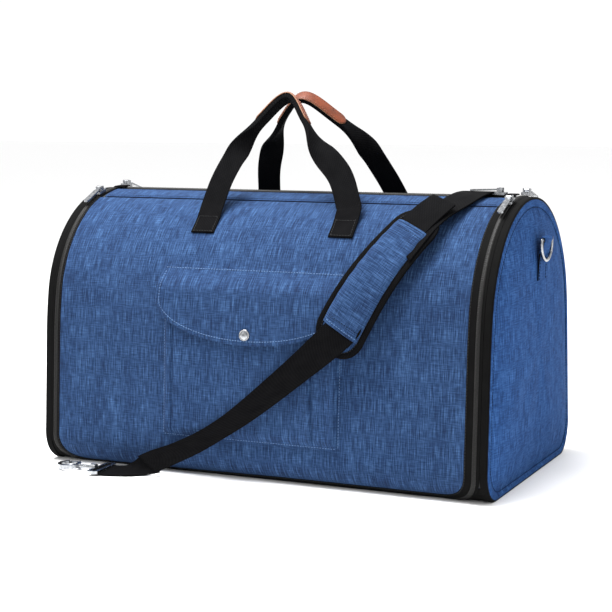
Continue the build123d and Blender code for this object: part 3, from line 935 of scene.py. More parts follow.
    def zip_band(self) -> None:
        """The black tape and coil that run down both ends and along the foot of the wing."""
        line, out = self.band_path(4.0)
        inner = self.band_left + (self.band_half - self.band_left) * smooth_step(-200, 60, line[:, :1])
        v = edged(0.0, 1.0, 12, 0.04)[None, :]
        w = -inner + (inner + self.band_half) * v
        x = line[:, :1] + w * out[:, :1]
        s = line[:, 1:] + w * out[:, 1:]
        length = distances(line)[:, None]
        uv = np.stack(np.broadcast_arrays(w, length), axis=-1)
        side = self.side.value
        top = 1.75 - hem(w + inner, 0.7, 1.4)
        made = cloth(f"{self.side.word}_zip_band", x, s, top, 0.1, side, ZIP_TAPE, uv)
        self.over_fold(made, f"{self.side.word}_left_tape", f"{self.side.word}_right_tape")
        fine, across = self.band_path(0.62)
        fine = fine + self.coil_offset * across
        self.over_fold(self.coil(f"{self.side.word}_end_zip_coil", fine, across))
        edge = line - (inner - 1.5) * out
        row = sewn(f"{self.side.word}_band_stitches", edge[:, 0], edge[:, 1], 1.75, side, BLACK_THREAD)
        self.over_fold(row)

    def seam_rows(self) -> None:
        """Topstitching along the facing's turned edge."""
        x = np.linspace(-self.length + 4, self.length - 4, 200)
        side, word = self.side.value, self.side.word
        for name, place in (("upper", self.facing_from + 3.0), ("lower", self.facing_to - 3.2)):
            row = np.full_like(x, place)
            self.own(sewn(f"{word}_facing_{name}_stitches", x, row, 1.85, side, NAVY_THREAD))
        s = np.full_like(x, (self.facing_to + self.cloth_from) / 2)
        out = FORM.normal(s, side)
        across = np.tile(np.cross([1.0, 0.0, 0.0], out[0]), (len(x), 1))
        outline = slab(1.5, 1.1, 10, 2.0)
        cord = swept(f"{word}_facing_seam", FORM.surface(x, s, 1.0, side), across, out, outline, NAVY_THREAD)
        self.own(cord)

    def build(self) -> None:
        """Makes every piece of the wing."""
        self.backing()
        self.main_cloth()
        self.facing()
        self.facing_seam()
        self.top_tape()
        self.zip_band()
        self.seam_rows()


@dataclass
class Base:
    """The stiffened bottom between the two wings."""

    half_length: float = 280.0
    top: float = 381.2
    edging_to: float = 414.0
    board: float = 6.0

    def underside(self) -> Piece:
        """The bottom's cloth, from foot to foot, with the board inside it."""
        reach = FORM.half_girth - self.top
        h = edged(-reach, reach, 90)
        x, h = spread(edged(-self.half_length, self.half_length, 70), h)
        s = FORM.half_girth - np.abs(h)
        outer, inner = (
            np.where((h < 0)[..., None], FORM.surface(x, s, lift, -1), FORM.surface(x, s, lift, 1))
            for lift in (0.0, -self.board)
        )
        made = shell("base_cloth", outer, inner, np.stack([x, h], axis=-1) * MM, BLUE_CLOTH)
        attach(made, "base")
        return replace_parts(made, "base_panel", "base_board")

    def build(self) -> None:
        """Makes the underside and the black edging along both feet."""
        self.underside()
        for side in Side:
            x, s = spread(edged(-self.half_length, self.half_length, 70), edged(self.top, self.edging_to, 10))
            made = cloth(f"{side.word}_foot_edging", x, s, 0.6, -0.5, side.value, ZIP_TAPE)
            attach(made, "base")


@dataclass
class EndPanel:
    """One D-shaped end: puffed cloth, black edge tape, ring tab."""

    end: End
    face: float = 280.0
    puff: float = 11.0
    centre_z: float = 150.0
    seam: float = 0.93
    layer: float = 4.0
    tape_from: float = 272.4
    tape_to: float = 280.6
    tape_lift: float = 1.7
    bar: tuple[float, float] = (297.0, 275.0)
    bar_bend: float = 3.1
    tab_width: float = 27.0
    tab_thick: float = 1.5

    def own(self, made: Piece, *nodes: str) -> Piece:
        """Bakes a piece's placement into its mesh and hides the CAD nodes it stands in for."""
        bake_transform(made)
        if nodes:
            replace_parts(made, *nodes)
        return made

    def bulge(self, r: Array, turn: Array) -> Array:
        """Height of the padded face: full in the middle, pulled in at a seam near the rim."""
        body = self.puff * (1 - np.clip(r / self.seam, 0, 1) ** 4) ** 0.8
        rim = 2.2 * np.exp(-(((r - 0.972) / 0.02) ** 2))
        wave = 0.9 * np.sin(3 * turn + 0.6) * r * (1 - r) * 4
        wave = wave + 0.5 * np.sin(7 * turn + 1.3) * (r * (1 - r)) * 4
        return body + rim + wave * (r < self.seam)

    def girth(self, count: int) -> tuple[Array, Array]:
        """Points (y, z) all round the section in mm, and the distance round it."""
        run = np.linspace(-FORM.half_girth, FORM.half_girth, count)
        place = FORM.surface(np.full_like(run, 270.0), np.abs(run), 0.0, 1) / MM
        return np.stack([np.sign(run) * place[:, 1], place[:, 2]], axis=1), run

    def panel(self) -> None:
        """The D panel: rings shrunk towards the middle, pushed out by the bulge."""
        ring, run = self.girth(240)
        r = np.concatenate([np.linspace(0, 0.85, 18), np.linspace(0.87, 0.995, 16), [1.0]])[:, None]
        y = r * ring[None, :, 0]
        z = self.centre_z + r * (ring[None, :, 1] - self.centre_z)
        turn = 2 * np.pi * run[None, :] / (2 * FORM.half_girth)
        drop = hem((1 - r) * 150, 1.2, 1.6)
        x = self.end.value * (self.face + self.bulge(r, turn) - drop)
        outer = np.stack([x, y, z], axis=-1) * MM
        inner = np.stack([np.full_like(x, self.end.value * (self.face - self.layer)), y, z], axis=-1) * MM
        uv = np.stack([y, z], axis=-1) * MM
        made = shell(f"{self.end.word}_end_cloth", outer, inner, uv, BLUE_CLOTH_PAINTED_FOR_ENDS, Rim.OUTER_ROW)
        self.own(made, f"{self.end.word}_end_panel")
        groove = self.seam * 1.012
        path_y = groove * ring[:, 0]
        path_z = self.centre_z + groove * (ring[:, 1] - self.centre_z)
        height = self.end.value * (self.face + 1.0 + np.zeros_like(path_y))
        path = np.stack([height, path_y, path_z], axis=1) * MM
        out = np.tile([float(self.end.value), 0.0, 0.0], (len(path), 1))
        self.own(stitches(f"{self.end.word}_end_stitches", path, out, NAVY_THREAD))

    def edge_tape(self) -> None:
        """The black zip tape sewn round the end panel."""
        run = np.linspace(-FORM.half_girth, FORM.half_girth, 260)[None, :]
        across = edged(self.tape_from, self.tape_to, 8, 0.5)[:, None] * self.end.value
        x, s = np.broadcast_arrays(across, np.abs(run))
        lift = self.tape_lift - hem(self.tape_to - np.abs(x), 1.4, 1.8)
        outer = FORM.surface(x, s, lift, 1)
        inner = FORM.surface(x, s, -2.5, 1)
        flip = np.where(run < 0, -1.0, 1.0) + 0.0 * x
        for grid in (outer, inner):
            grid[..., 1] *= flip
        uv = np.stack(np.broadcast_arrays(x, run), axis=-1) * MM
        made = shell(f"{self.end.word}_end_tape_band", outer, inner, uv, ZIP_TAPE)
        self.own(made, f"{self.end.word}_end_tape")

    def ring_tab(self) -> None:
        """The folded tab of cloth that holds the ring: up the panel, round the bar and back."""
        e = self.end.value
        turn = np.radians(np.linspace(180, -60, 16))
        bend = np.array(self.bar) + self.bar_bend * np.stack([np.cos(turn), np.sin(turn)], axis=1)
        up, down = [[291.4, 229], [292.2, 245], [293.4, 262]], [[296.6, 264], [294.6, 256]]
        path = resample(flowing(np.concatenate([up, bend, down]), 6), 2.0)
        centre = np.stack([e * path[:, 0], np.zeros(len(path)), path[:, 1]], axis=1) * MM
        ahead = unit(np.gradient(centre, axis=0))
        across = np.tile([0.0, 1.0, 0.0], (len(path), 1))
        out = np.cross(across, ahead)
        outline = slab(self.tab_width, self.tab_thick)
        made = swept(f"{self.end.word}_ring_tab_cloth", centre, across, out, outline, BLUE_CLOTH_PAINTED_FOR_ENDS)
        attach(made, f"{self.end.word}_end")
        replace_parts(made, f"{self.end.word}_ring_tab")
        sewn_part = centre[:14]
        normals = np.tile([float(e), 0.0, 0.0], (len(sewn_part), 1))
        for edge, word in ((-1, "front"), (1, "rear")):
            line = sewn_part + np.array([e * 1.0, edge * 11.6, 0.0]) * MM
            row = stitches(f"{self.end.word}_tab_{word}_stitches", line, normals, NAVY_THREAD)
            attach(row, f"{self.end.word}_end")
        # A thin black strip along the tab's front edge: a painted shadow of the tab's edge on the panel, not
        # a sewn part.
        rim = centre[:16] + np.array([0.0, -13.9, 0.0]) * MM
        thin = slab(0.5, 1.5, 10, 2.5)
        shadow_strip = swept(f"{self.end.word}_tab_shadow_welt", rim, across[:16], out[:16], thin, ZIP_TAPE)
        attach(shadow_strip, f"{self.end.word}_end")

    def build(self) -> None:
        """Makes every piece of the end."""
        self.panel()
        self.edge_tape()
        self.ring_tab()


@dataclass
class FrontPocket:
    """The bellows pocket on the front wing, its rounded flap and the snap."""

    middle: float = -4.0
    half: float = 113.0
    bottom: float = 46.0
    top: float = 204.0
    depth: float = 8.6
    flap_half: float = 120.0
    flap_top: float = 243.0
    flap_shoulder: float = 205.0
    flap_bottom: float = 157.0
    snap_x: float = -6.0
    snap_z: float = 169.0
    hem_lift: float = 1.4
    pleats: tuple[float, float, float] = (17.0, 33.0, 5.5)
    pleat_slant: float = 0.06
    pleat_climb: float = 2.8
    pleat_dip: float = 2.4
    flap_lie: float = 1.9
    flap_climb: float = 11.8
    flap_thick: float = 1.5

    def pocket_lift(self, x: Array, z: Array) -> Array:
        """How far the pocket stands out: steep bellows at its borders, folded pleats near its sides.

        Each pleat is a step: the cloth dips just before its fold, climbs sharply and eases back.
        """
        left, right = x - (self.middle - self.half), (self.middle + self.half) - x
        low = z - self.bottom
        body = smooth_step(0, 9, left) * smooth_step(0, 9, right) * smooth_step(-1, 12, low)
        lift = self.hem_lift + (self.depth - self.hem_lift) * body
        first, second, third = self.pleats
        for distance in (left - first, right - second - self.pleat_slant * low, right - third):
            step = np.exp(-np.clip(distance, 0, None) / 8.0) * smooth_step(-0.7, 0.7, distance)
            dip = np.exp(-((distance + 1.6) ** 2) / 2.2)
            lift = lift + (self.pleat_climb * step - self.pleat_dip * dip) * smooth_step(0, 10, low)
        sag = 0.9 * np.exp(-(((low - 40) / 34) ** 2)) * smooth_step(0, 60, left) * smooth_step(0, 60, right)
        return lift + sag

    def pocket(self) -> None:
        """The pocket's body and its three rows of stitches."""
        left, right, low = self.middle - self.half, self.middle + self.half, self.bottom
        x, z = spread(edged(left, right, 150), edged(low, self.top, 90))
        made = cloth("pocket_cloth", x, FORM.at_height(z), self.pocket_lift(x, z), 0.9, -1, BLUE_CLOTH)
        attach(made, "front_wing")
        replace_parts(made, "pocket_panel")
        rows = {
            "bottom": [[left + 3, low + 2.2], [right - 3, low + 2.2]],
            "left": [[left + 2.2, low + 3], [left + 2.2, self.top]],
            "right": [[right - 2.2, low + 3], [right - 2.2, self.top]],
        }
        for name, ends in rows.items():
            x, z = resample(np.array(ends), 4.0).T
            lift = self.pocket_lift(x, z) + 0.15
            row = sewn(f"pocket_{name}_stitches", x, FORM.at_height(z), lift, -1, BLUE_THREAD)
            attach(row, "front_wing")

    def flap_low(self, x: Array) -> Array:
        """Height of the flap's lower edge: a half ellipse below straight sides."""
        u = np.clip((x - self.middle) / self.flap_half, -1, 1)
        return self.flap_shoulder - (self.flap_shoulder - self.flap_bottom) * np.sqrt(1 - u**2)

    def flap_lift(self, x: Array, z: Array) -> Array:
        """The flap climbs from its seam over the pocket, then lies flat with a slight roll."""
        rise = smooth_step(0, 30, self.flap_top - z)
        roll = 0.7 * np.sin((x - self.middle) / 31.0 + 0.7) * smooth_step(self.flap_top, 175, z)
        return self.flap_lie + self.flap_climb * rise + 0.6 * roll

    def flap(self) -> None:
        """The flap's cloth, its topstitching and the fold at its seam."""
        u = np.sin(np.linspace(-np.pi / 2, np.pi / 2, 110))
        x = (self.middle + self.flap_half * u)[:, None]
        v = edged(0.0, 1.0, 60, 0.012)[None, :]
        z = self.flap_top + (self.flap_low(x) - self.flap_top) * v
        x = np.broadcast_to(x, z.shape)
        side_gap = self.flap_half - np.abs(x - self.middle)
        low_gap = z - self.flap_low(x)
        near = np.minimum(side_gap, low_gap * np.clip(side_gap / 26, 0.35, 1))
        top = self.flap_lift(x, z) - hem(near, 0.9, 1.6) + 0.45 * np.exp(-((near - 2.2) ** 2))
        low = self.flap_lift(x, z) - self.flap_thick
        made = cloth("flap_cloth", x, FORM.at_height(z), top, low, -1, BLUE_CLOTH)
        self.over_seam(made)
        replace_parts(made, "pocket_flap", "flap_seam")
        turn = np.linspace(np.pi, 2 * np.pi, 120)
        wide = self.flap_half - 5.0
        drop = self.flap_shoulder - self.flap_bottom - 5.0
        hub = np.array([self.middle, self.flap_shoulder])
        arc = hub + np.array([wide, drop]) * np.stack([np.cos(turn), np.sin(turn)], axis=1)
        high = self.flap_top - 8
        sides = np.array([[self.middle - wide, high], [self.middle + wide, high]])
        line = resample(np.concatenate([sides[:1], arc, sides[1:]]), 3.0)
        self.row("flap_edge_stitches", line, BLUE_THREAD)
        across = np.stack([np.linspace(self.middle - 117, self.middle + 117, 80), np.full(80, 239.0)], axis=1)
        self.row("flap_seam_stitches", across, BLUE_THREAD)

    def row(self, name: str, line: Array, finish: Finish) -> None:
        """A row of stitches on the flap along points (x, z)."""
        x, z = line.T
        lift = self.flap_lift(x, z) + 0.1
        self.over_seam(sewn(name, x, FORM.at_height(z), lift, -1, finish, radius=0.45))

    def over_seam(self, made: Piece) -> None:
        """Bakes a piece's placement into its mesh."""
        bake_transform(made)

    def snap(self) -> None:
        """The snap's spun cap: a shallow dome inside a rolled rim, turned about its own axis."""
        s = FORM.at_height(np.array([self.snap_z]))
        lift = float(self.flap_lift(np.array([self.snap_x]), np.array([self.snap_z]))[0])
        origin = FORM.surface(np.array([self.snap_x]), s, lift, -1)[0]
        out = FORM.normal(s, -1)[0]
        right = np.array([1.0, 0.0, 0.0])
        up = np.cross(out, right)
        radius = np.array([0.0, 2.0, 3.6, 4.7, 5.2, 5.6, 6.1, 6.5, 6.5, 6.1, 0.0])
        height = np.array([2.1, 2.0, 1.7, 1.25, 1.05, 1.35, 1.4, 1.0, 0.4, -0.4, -0.4])
        turn = np.linspace(0, 2 * np.pi, 41)
        ring = np.cos(turn)[None, :, None] * right + np.sin(turn)[None, :, None] * up
        points = origin + (radius[:, None, None] * ring + height[:, None, None] * out) * MM
        uv = points[..., [0, 2]]
        faces = quads_of(np.arange(radius.size * turn.size).reshape(radius.size, turn.size))
        made = piece("snap_dome", points.reshape(-1, 3), faces, uv.reshape(-1, 2), NICKEL)
        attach(made, "pocket_flap")
        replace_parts(made, "snap_cap")

    def build(self) -> None:
        """Makes the pocket, the flap and the snap."""
        self.pocket()
        self.flap()
        self.snap()


@dataclass
class CarryHandle:
    """One handle: flat webbing legs that turn and fold into a grip under a leather wrap."""

    side: Side
    leg: float = 88.0
    fold_y: float = 79.7
    fold_z: float = 300.9
    apex_y: float = 11.0
    apex_z: float = 431.0
    width: float = 30.0
    thick: float = 2.2
    folded_width: float = 16.0
    folded_thick: float = 7.2
    fold_from: float = 66.0
    fold_to: float = 116.0
    path_step: float = 2.0
    smoothing: int = 9
    tip_length: float = 9.0

    def frame(self) -> tuple[Array, Array, Array, float]:
        """The leaning plane's origin, its upward and forward unit vectors, and the rise."""
        y = self.side.value
        origin = np.array([0.0, y * self.fold_y, self.fold_z])
        up = np.array([0.0, y * (self.apex_y - self.fold_y), self.apex_z - self.fold_z])
        rise = float(np.linalg.norm(up))
        up = up / rise
        out = np.array([0.0, y * up[2], -y * up[1]])
        return origin, up, out, rise

    def path(self) -> tuple[Array, Array, Array]:
        """Middle of the webbing from foot to foot, its outward normals, and height up the lean."""
        origin, up, out, rise = self.frame()
        shapes = {
            Side.FRONT: ((-82, 46), (-68, 84), (-46, 122), (-18, rise + 2.5), (10, 118), (35, 84), (68, 50)),
            Side.REAR: ((-78, 52), (-62, 88), (-38, 126), (-8, rise + 2.5), (26, 124), (56, 90), (76, 46)),
        }
        arch = flowing([(-self.leg, 10), *shapes[self.side], (self.leg, 10)], 14)
        arch = arch[:, :1] * np.array([1.0, 0, 0]) + arch[:, 1:] * up + origin
        s, lift, y = np.array([112.0, 106.0, 98.0, 90.0]), np.array([2.6, 2.6, 2.8, 3.8]), self.side.value
        left, right = (FORM.surface(np.full(4, x), s, lift, y) / MM for x in (-self.leg, self.leg))
        line = np.concatenate([left, arch, right[::-1]])
        lean = np.tile(out, (len(arch), 1))
        outs = np.concatenate([FORM.normal(s, y), lean, FORM.normal(s[::-1], y)])
        both = resample(np.concatenate([line, outs * 0.01], axis=1), self.path_step)
        centre, normals = both[:, :3], unit(both[:, 3:])
        kernel, reach = np.ones(self.smoothing) / self.smoothing, self.smoothing // 2
        padded = np.pad(normals, ((reach, reach), (0, 0)), mode="edge")
        normals = unit(np.stack([np.convolve(padded[:, k], kernel, "valid") for k in range(3)], axis=1))
        return centre, normals, (centre - origin) @ up

    def axes(self, centre: Array, normals: Array, height: Array) -> tuple[Array, ...]:
        """Width and thickness directions: they turn a quarter about the path as the webbing folds.

        Args:
            centre: Path points.
            normals: Outward normals.
            height: Height up the lean at each point.

        Returns:
            Width directions, thickness directions and the fold's progress.
        """
        ahead = unit(np.gradient(centre, axis=0))
        normals = unit(normals - np.sum(normals * ahead, axis=1, keepdims=True) * ahead)
        outward = np.cross(normals, ahead) * -self.side.value
        fold = smooth_step(self.fold_from, self.fold_to, height)
        turn = (np.pi / 2 * fold)[:, None]
        turn = np.where(self.flipped(centre)[:, None], np.pi - turn, turn)
        across = outward * np.cos(turn) - normals * np.sin(turn)
        out = normals * np.cos(turn) + outward * np.sin(turn)
        return across, out, fold

    def flipped(self, centre: Array) -> Array:
        """True along the leg that folds the other way, so that its inner face ends up on top."""
        return centre[:, 0] * self.side.value > 0

    def build(self) -> None:
        """Makes the webbing, the leather wrap, its cut edges and the stitches."""
        word = self.side.word
        centre, normals, height = self.path()
        across, out, fold = self.axes(centre, normals, height)
        width = self.width + (self.folded_width - self.width) * fold
        thick = self.thick + (self.folded_thick - self.thick) * fold
        outline = slab(1.0, 1.0, 32, 6.0)[None] * np.stack([width, thick], axis=1)[:, None, :]
        web = swept(f"{word}_handle_strap", centre * MM, across, out, outline, BLACK_WEBBING)
        self.over_fold(web)
        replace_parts(web, f"{word}_handle_webbing", f"{word}_handle_patches")
        grip = height > self.fold_to - 3.0
        self.leather(word, centre[grip], across[grip], out[grip])
        face = np.where(self.flipped(centre), -1.0, 1.0)[:, None]
        self.foot_rows(word, centre, across * face, out * face, height)

    def leather(self, word: str, spot: Array, across: Array, out: Array) -> None:
        """The wrap: a thin curved cover over the outer face, rounded off at both tips."""
        steps = np.linspace(0, 1, len(spot))
        to_tip = np.minimum(steps, 1 - steps) * len(spot) * self.path_step
        near = np.clip(1 - to_tip / self.tip_length, 0, 1)
        tip = np.sqrt(np.clip(1 - near**2, 0.04, 1))
        turn = np.radians(np.linspace(2, 178, 22))
        arch = np.sign(np.sin(turn)) * np.abs(np.sin(turn)) ** 0.55
        cover = np.stack([8.8 * np.cos(turn), 3.4 + 1.7 * arch], axis=1)
        under = np.stack([8.2 * np.cos(turn), 2.6 + 1.1 * arch], axis=1)
        narrow = np.stack([tip, np.ones_like(tip)], axis=1)[:, None, :]
        outline = np.concatenate([cover, under[::-1]])[None] * narrow
        wrap = swept(f"{word}_handle_leather", spot * MM, across, out, outline, LEATHER)
        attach(wrap, f"{word}_handle")
        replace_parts(wrap, f"{word}_handle_grip")
        for edge, name in ((-1, "inner"), (1, "outer")):
            rim = (spot + across * (edge * 8.5 * tip)[:, None] + out * 3.4) * MM
            outline = slab(0.9, 1.3, 10, 2.2)
            lip = swept(f"{word}_leather_{name}_edge", rim, across, out, outline, LEATHER_EDGE)
            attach(lip, f"{word}_handle")
            line = (spot + across * (edge * 6.9 * tip)[:, None] + out * 4.9)[4:-4] * MM
            row = stitches(f"{word}_leather_{name}_stitches", line, out[4:-4], TAN_THREAD, radius=0.28)
            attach(row, f"{word}_handle")

    def foot_rows(self, word: str, centre: Array, across: Array, out: Array, height: Array) -> None:
        """Boxes of black stitches that hold the feet to the wing."""
        foot = height < -3.0
        reach, proud = self.width / 2 - 3.0, 1.25
        for label, place in (("left", centre[:, 0] < 0), ("right", centre[:, 0] > 0)):
            spot = centre[foot & place]
            a, o = across[foot & place], out[foot & place]
            rows = [(name, spot + a * edge * reach + o * proud, o) for edge, name in ((-1, "in"), (1, "out"))]
            for name, k in (("low", 1), ("high", -2)):
                line = resample(spot[k] + np.array([[-reach], [reach]]) * a[k] + o[k] * proud, 3.0)
                rows.append((name, line, np.tile(o[k], (len(line), 1))))
            for name, line, up in rows:
                row = stitches(f"{word}_{label}_foot_{name}_stitches", line * MM, up, BLACK_THREAD)
                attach(row, self.side.wing)

    def over_fold(self, made: Piece) -> None:
        """Bakes the webbing's placement into its mesh."""
        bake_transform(made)


@dataclass
class ShoulderStrap:
    """The loose shoulder strap: webbing over the crown and the front, padded sleeve, floor tail."""

    pad_x: float = 145.0
    pad_rise: float = -16.0
    pad_turn: float = 61.7
    pad_lean: float = 60.0
    pad_length: float = 190.0
    pad_width: float = 58.0
    pad_corner: float = 26.0
    pad_reach: float = 340.0
    lean_z: float = 180.0
    binding_inset: float = 3.2
    sleeve_length: float = 140.0
    sleeve_width: float = 46.0
    pad_lift: float = 15.0
    sleeve_lift: float = 20.0
    strap_lift: float = 17.8
    webbing: float = 38.0
    thick: float = 1.8
    straight_from: float = 364.0
    straight_z: float = 36.4
    tail_outer: tuple[tuple[float, ...], ...] = (
        (-110, -128, -148, -176, -192), (-173, -176, -187, -196, -197.3), (6.5, 2.2, 1.4, 2.0, 4.6)
    )
    tail_inner: tuple[tuple[float, ...], ...] = (
        (-134, -147, -161, -178, -192), (-171, -169, -164, -160, -158.7), (24, 14, 7, 4.6, 4.6)
    )

    def on_pad(self, a: Array, b: Array) -> tuple[Array, Array]:
        """Turns pad places (along, across) into (x, s) on the bag.

        The pad's plane touches the crown at the lean; its height there is matched to a table of
        the section's own height in that plane.

        Args:
            a: Distance along the pad.
            b: Distance across it.

        Returns:
            x and s.
        """
        turn = math.radians(self.pad_turn)
        x = self.pad_x + a * math.cos(turn) - b * math.sin(turn)
        rise = self.pad_rise + a * math.sin(turn) + b * math.cos(turn)
        lean = math.radians(self.pad_lean)
        s, y, z = FORM.table()
        keep = s < self.pad_reach
        slope = FORM.slope(s)
        out_y = y + self.pad_lift * np.sin(slope)
        out_z = z + self.pad_lift * np.cos(slope)
        tall = -out_y * math.cos(lean) + (out_z - self.lean_z) * math.sin(lean)
        order = np.argsort(tall[keep])
        return x, np.interp(rise, tall[keep][order], s[keep][order])

    def half_width(self, a: Array) -> Array:
        """Half the pad's width at distance a along it: straight, then quarter circles."""
        over = np.clip(np.abs(a) - (self.pad_length / 2 - self.pad_corner), 0, self.pad_corner)
        return self.pad_width / 2 - self.pad_corner + np.sqrt(self.pad_corner**2 - over**2)

    def pad(self) -> None:
        """The foam pad: thicker in the middle, thin where the binding grips its edge."""
        a = (self.pad_length / 2 * np.sin(np.linspace(-np.pi / 2, np.pi / 2, 90)))[:, None]
        v = np.linspace(-1, 1, 31)[None, :]
        b = v * self.half_width(a)
        a = np.broadcast_to(a, b.shape)
        x, s = self.on_pad(a, b)
        inset = np.minimum(self.half_width(a) - np.abs(b), self.pad_length / 2 - np.abs(a))
        fill = smooth_step(0, 14, inset)
        top, low = self.pad_lift - 0.4 + 1.9 * fill, self.pad_lift - 1.6 - 1.6 * fill
        made = cloth("shoulder_pad_cloth", x, s, top, low, -1, BLUE_CLOTH, np.stack([b, a], axis=-1))
        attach(made, "strap")
        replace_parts(made, "shoulder_pad")
        self.binding()

    def binding(self) -> None:
        """Black binding folded over the pad's edge, with a row of stitches."""
        outer = (self.pad_length / 2, self.pad_width / 2, self.pad_corner)
        half_l, half_w, r = (reach - self.binding_inset for reach in outer)
        turn = np.radians(np.linspace(0, 90, 14, endpoint=False))
        corner = np.stack([np.cos(turn), np.sin(turn)], axis=1) * r
        parts = []
        for k, (sa, sb) in enumerate(((1, 1), (-1, 1), (-1, -1), (1, -1))):
            c, n = np.cos(k * np.pi / 2), np.sin(k * np.pi / 2)
            spin = np.array([[c, n], [-n, c]])
            parts.append(np.array([sa * (half_l - r), sb * (half_w - r)]) + corner @ spin)
        loop = np.concatenate(parts + [parts[0][:1]])
        loop = resample(loop, 3.0)[:-1]
        x, s = self.on_pad(loop[:, 0], loop[:, 1])
        centre = FORM.surface(x, s, self.pad_lift - 0.6, -1)
        ahead = unit(np.roll(centre, -1, axis=0) - np.roll(centre, 1, axis=0))
        out = FORM.normal(s, -1)
        across = unit(np.cross(ahead, out))
        made = swept("pad_binding", centre, across, out, slab(8.4, 3.8, 24, 3.0), BLACK_WEBBING, closed=True)
        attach(made, "strap")
        inner = centre + across * -0.0028 + out * 0.0019
        edge = np.concatenate([inner, inner[:1]])
        row = stitches("pad_binding_stitches", edge, np.concatenate([out, out[:1]]), BLACK_THREAD)
        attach(row, "strap")

    def sleeve(self) -> None:
        """The cloth sleeve over strap and pad: a low tunnel, its warp running across the strap."""
        half_l, half_w = self.sleeve_length / 2, self.sleeve_width / 2
        a, b = spread(edged(-half_l, half_l, 70), edged(-half_w, half_w, 30))
        x, s = self.on_pad(a, b)
        drop = 3.2 * np.abs(b / half_w) ** 5
        pucker = 0.35 * np.sin(a / 3.1 + 1.2 * np.sin(b / 9.0)) * smooth_step(0.4, 1.0, np.abs(b) / half_w)
        top = self.sleeve_lift + 0.4 - drop + pucker - hem(half_l - np.abs(a), 1.2, 2.2)
        uv = np.stack([a, b], axis=-1)
        made = cloth("pad_sleeve_cloth", x, s, top, top - 1.6, -1, BLUE_CLOTH, uv)
        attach(made, "strap")
        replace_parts(made, "pad_sleeve")
        span = np.linspace(-half_w + 2, half_w - 2, 30)
        for label, place, finish in (
            ("low_outer", -half_l + 3.5, BLUE_THREAD),
            ("low_inner", -half_l + 9.5, NAVY_THREAD),
            ("high_inner", half_l - 9.5, NAVY_THREAD),
            ("high_outer", half_l - 3.5, NAVY_THREAD),
        ):
            x, s = self.on_pad(np.full_like(span, place), span)
            lift = self.sleeve_lift + 0.45 - 3.2 * np.abs(span / half_w) ** 5
            row = sewn(f"sleeve_{label}_stitches", x, s, lift, -1, finish)
            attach(row, "strap")

    def ribbon(self, name: str, upper: Array, lower: Array, lift: Array, side: int ) -> Piece:
        """A band of webbing between two edges given as (x, s) on the bag.

        Args:
            name: The object's name.
            upper: One edge.
            lower: The other edge, with as many points.
            lift: Lift of the middle of the band along it.
            side: -1 at the front and 1 at the rear.

        Returns:
            The object.
        """
        w = edged(0.0, 1.0, 16, 0.03)[None, :]
        x = lower[:, :1] * (1 - w) + upper[:, :1] * w
        s = lower[:, 1:] * (1 - w) + upper[:, 1:] * w
        high = lift[:, None] + self.thick / 2 + 0.0 * w
        low = high - self.thick
        across = (w - 0.5) * self.webbing
        length = distances((upper + lower) / 2)[:, None]
        uv = np.stack(np.broadcast_arrays(across, length), axis=-1) * MM
        return shell(name, self.hung(x, s, high, side), self.hung(x, s, low, side), uv, BLACK_WEBBING)

    def hung(self, x: Array, s: Array, lift: Array, side: int) -> Array:
        """Points of loose webbing: over the bag, and straight down past its foot with a slight flare."""
        points = FORM.surface(x, np.minimum(s, self.straight_from), lift, side)
        fall = np.clip(s - self.straight_from, 0, None) * MM
        points[..., 2] = np.maximum(points[..., 2] - fall, 0.0009)
        points[..., 1] += side * 0.12 * fall
        return points

    def fall_at(self, z: Array) -> Array:
        """Distance s of a height on the hanging webbing."""
        straight = self.straight_from + self.straight_z - z
        return np.where(z > self.straight_z, FORM.at_height(z), straight)

    def front_run(self) -> None:
        """The strap from the pad down over the pocket to the foot of the bag."""
        reach = np.linspace(self.sleeve_length / 2 + 46, -self.sleeve_length / 2 - 8, 30)
        pair = []
        for across in (self.webbing / 2, -self.webbing / 2):
            x, s = self.on_pad(reach, np.full_like(reach, across))
            pair.append(np.stack([x, s], axis=1))
        upper_xz = ((42, 143), (-4, 98), (-50, 63), (-90, 42), (-123, 29), (-140, 21))
        lower_xz = ((98, 153), (54, 109), (8, 74.5), (-26, 52), (-64, 29), (-114, 4.5))
        edges = []
        for line, start in ((upper_xz, pair[0]), (lower_xz, pair[1])):
            p = np.array(line, float)
            p[:, 1] = self.fall_at(p[:, 1])
            edges.append(flowing(np.concatenate([start[::4], p[1:]]), 10))
        upper, lower = edges
        middle = np.linalg.norm(upper - lower, axis=1)
        LOG.info("strap width from %.0f to %.0f mm", middle.min(), middle.max())
        lift = np.full(len(upper), self.strap_lift)
        made = self.ribbon("strap_front_webbing", upper, lower, lift, -1)
        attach(made, "strap")
        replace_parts(made, "strap_front_run")

    def rear_run(self) -> None:
        """The strap from behind the crown forward to the pad, close over the zip."""
        upper = [(205, -104), (200, -60), (196, -10), (191, 28), (184, 57), (172, 80), (159, 98), (150, 113)]
        lower = [(243, -104), (239, -62), (237, -12), (232, 22), (223, 62), (211, 92), (198, 122), (185, 146)]
        top, low = flowing(upper, 10), flowing(lower, 10)
        s = (top[:, 1] + low[:, 1]) / 2
        lift = 5.9 + 11.5 * smooth_step(40, 110, s)
        made = self.ribbon("strap_crown_webbing", top, low, lift, -1)
        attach(made, "strap")
        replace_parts(made, "strap_rear_run")

    def tail(self) -> None:
        """The strap's tail, lying on the floor from the foot of the bag to the hook."""
        outer, inner = (flowing(np.column_stack(edge), 8) for edge in (self.tail_outer, self.tail_inner))
        w = edged(0.0, 1.0, 14, 0.03)[None, :, None]
        grid = outer[:, None, :] * (1 - w) + inner[:, None, :] * w
        high = grid + np.array([0, 0, self.thick / 2])
        low = grid - np.array([0, 0, self.thick / 2])
        length = distances(outer)[:, None]
        uv = np.stack(np.broadcast_arrays((w[..., 0] - 0.5) * self.webbing, length), axis=-1) * MM
        made = shell("strap_tail_webbing", high * MM, low * MM, uv, BLACK_WEBBING)
        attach(made, "strap_tail")
        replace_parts(made, "strap_tail")

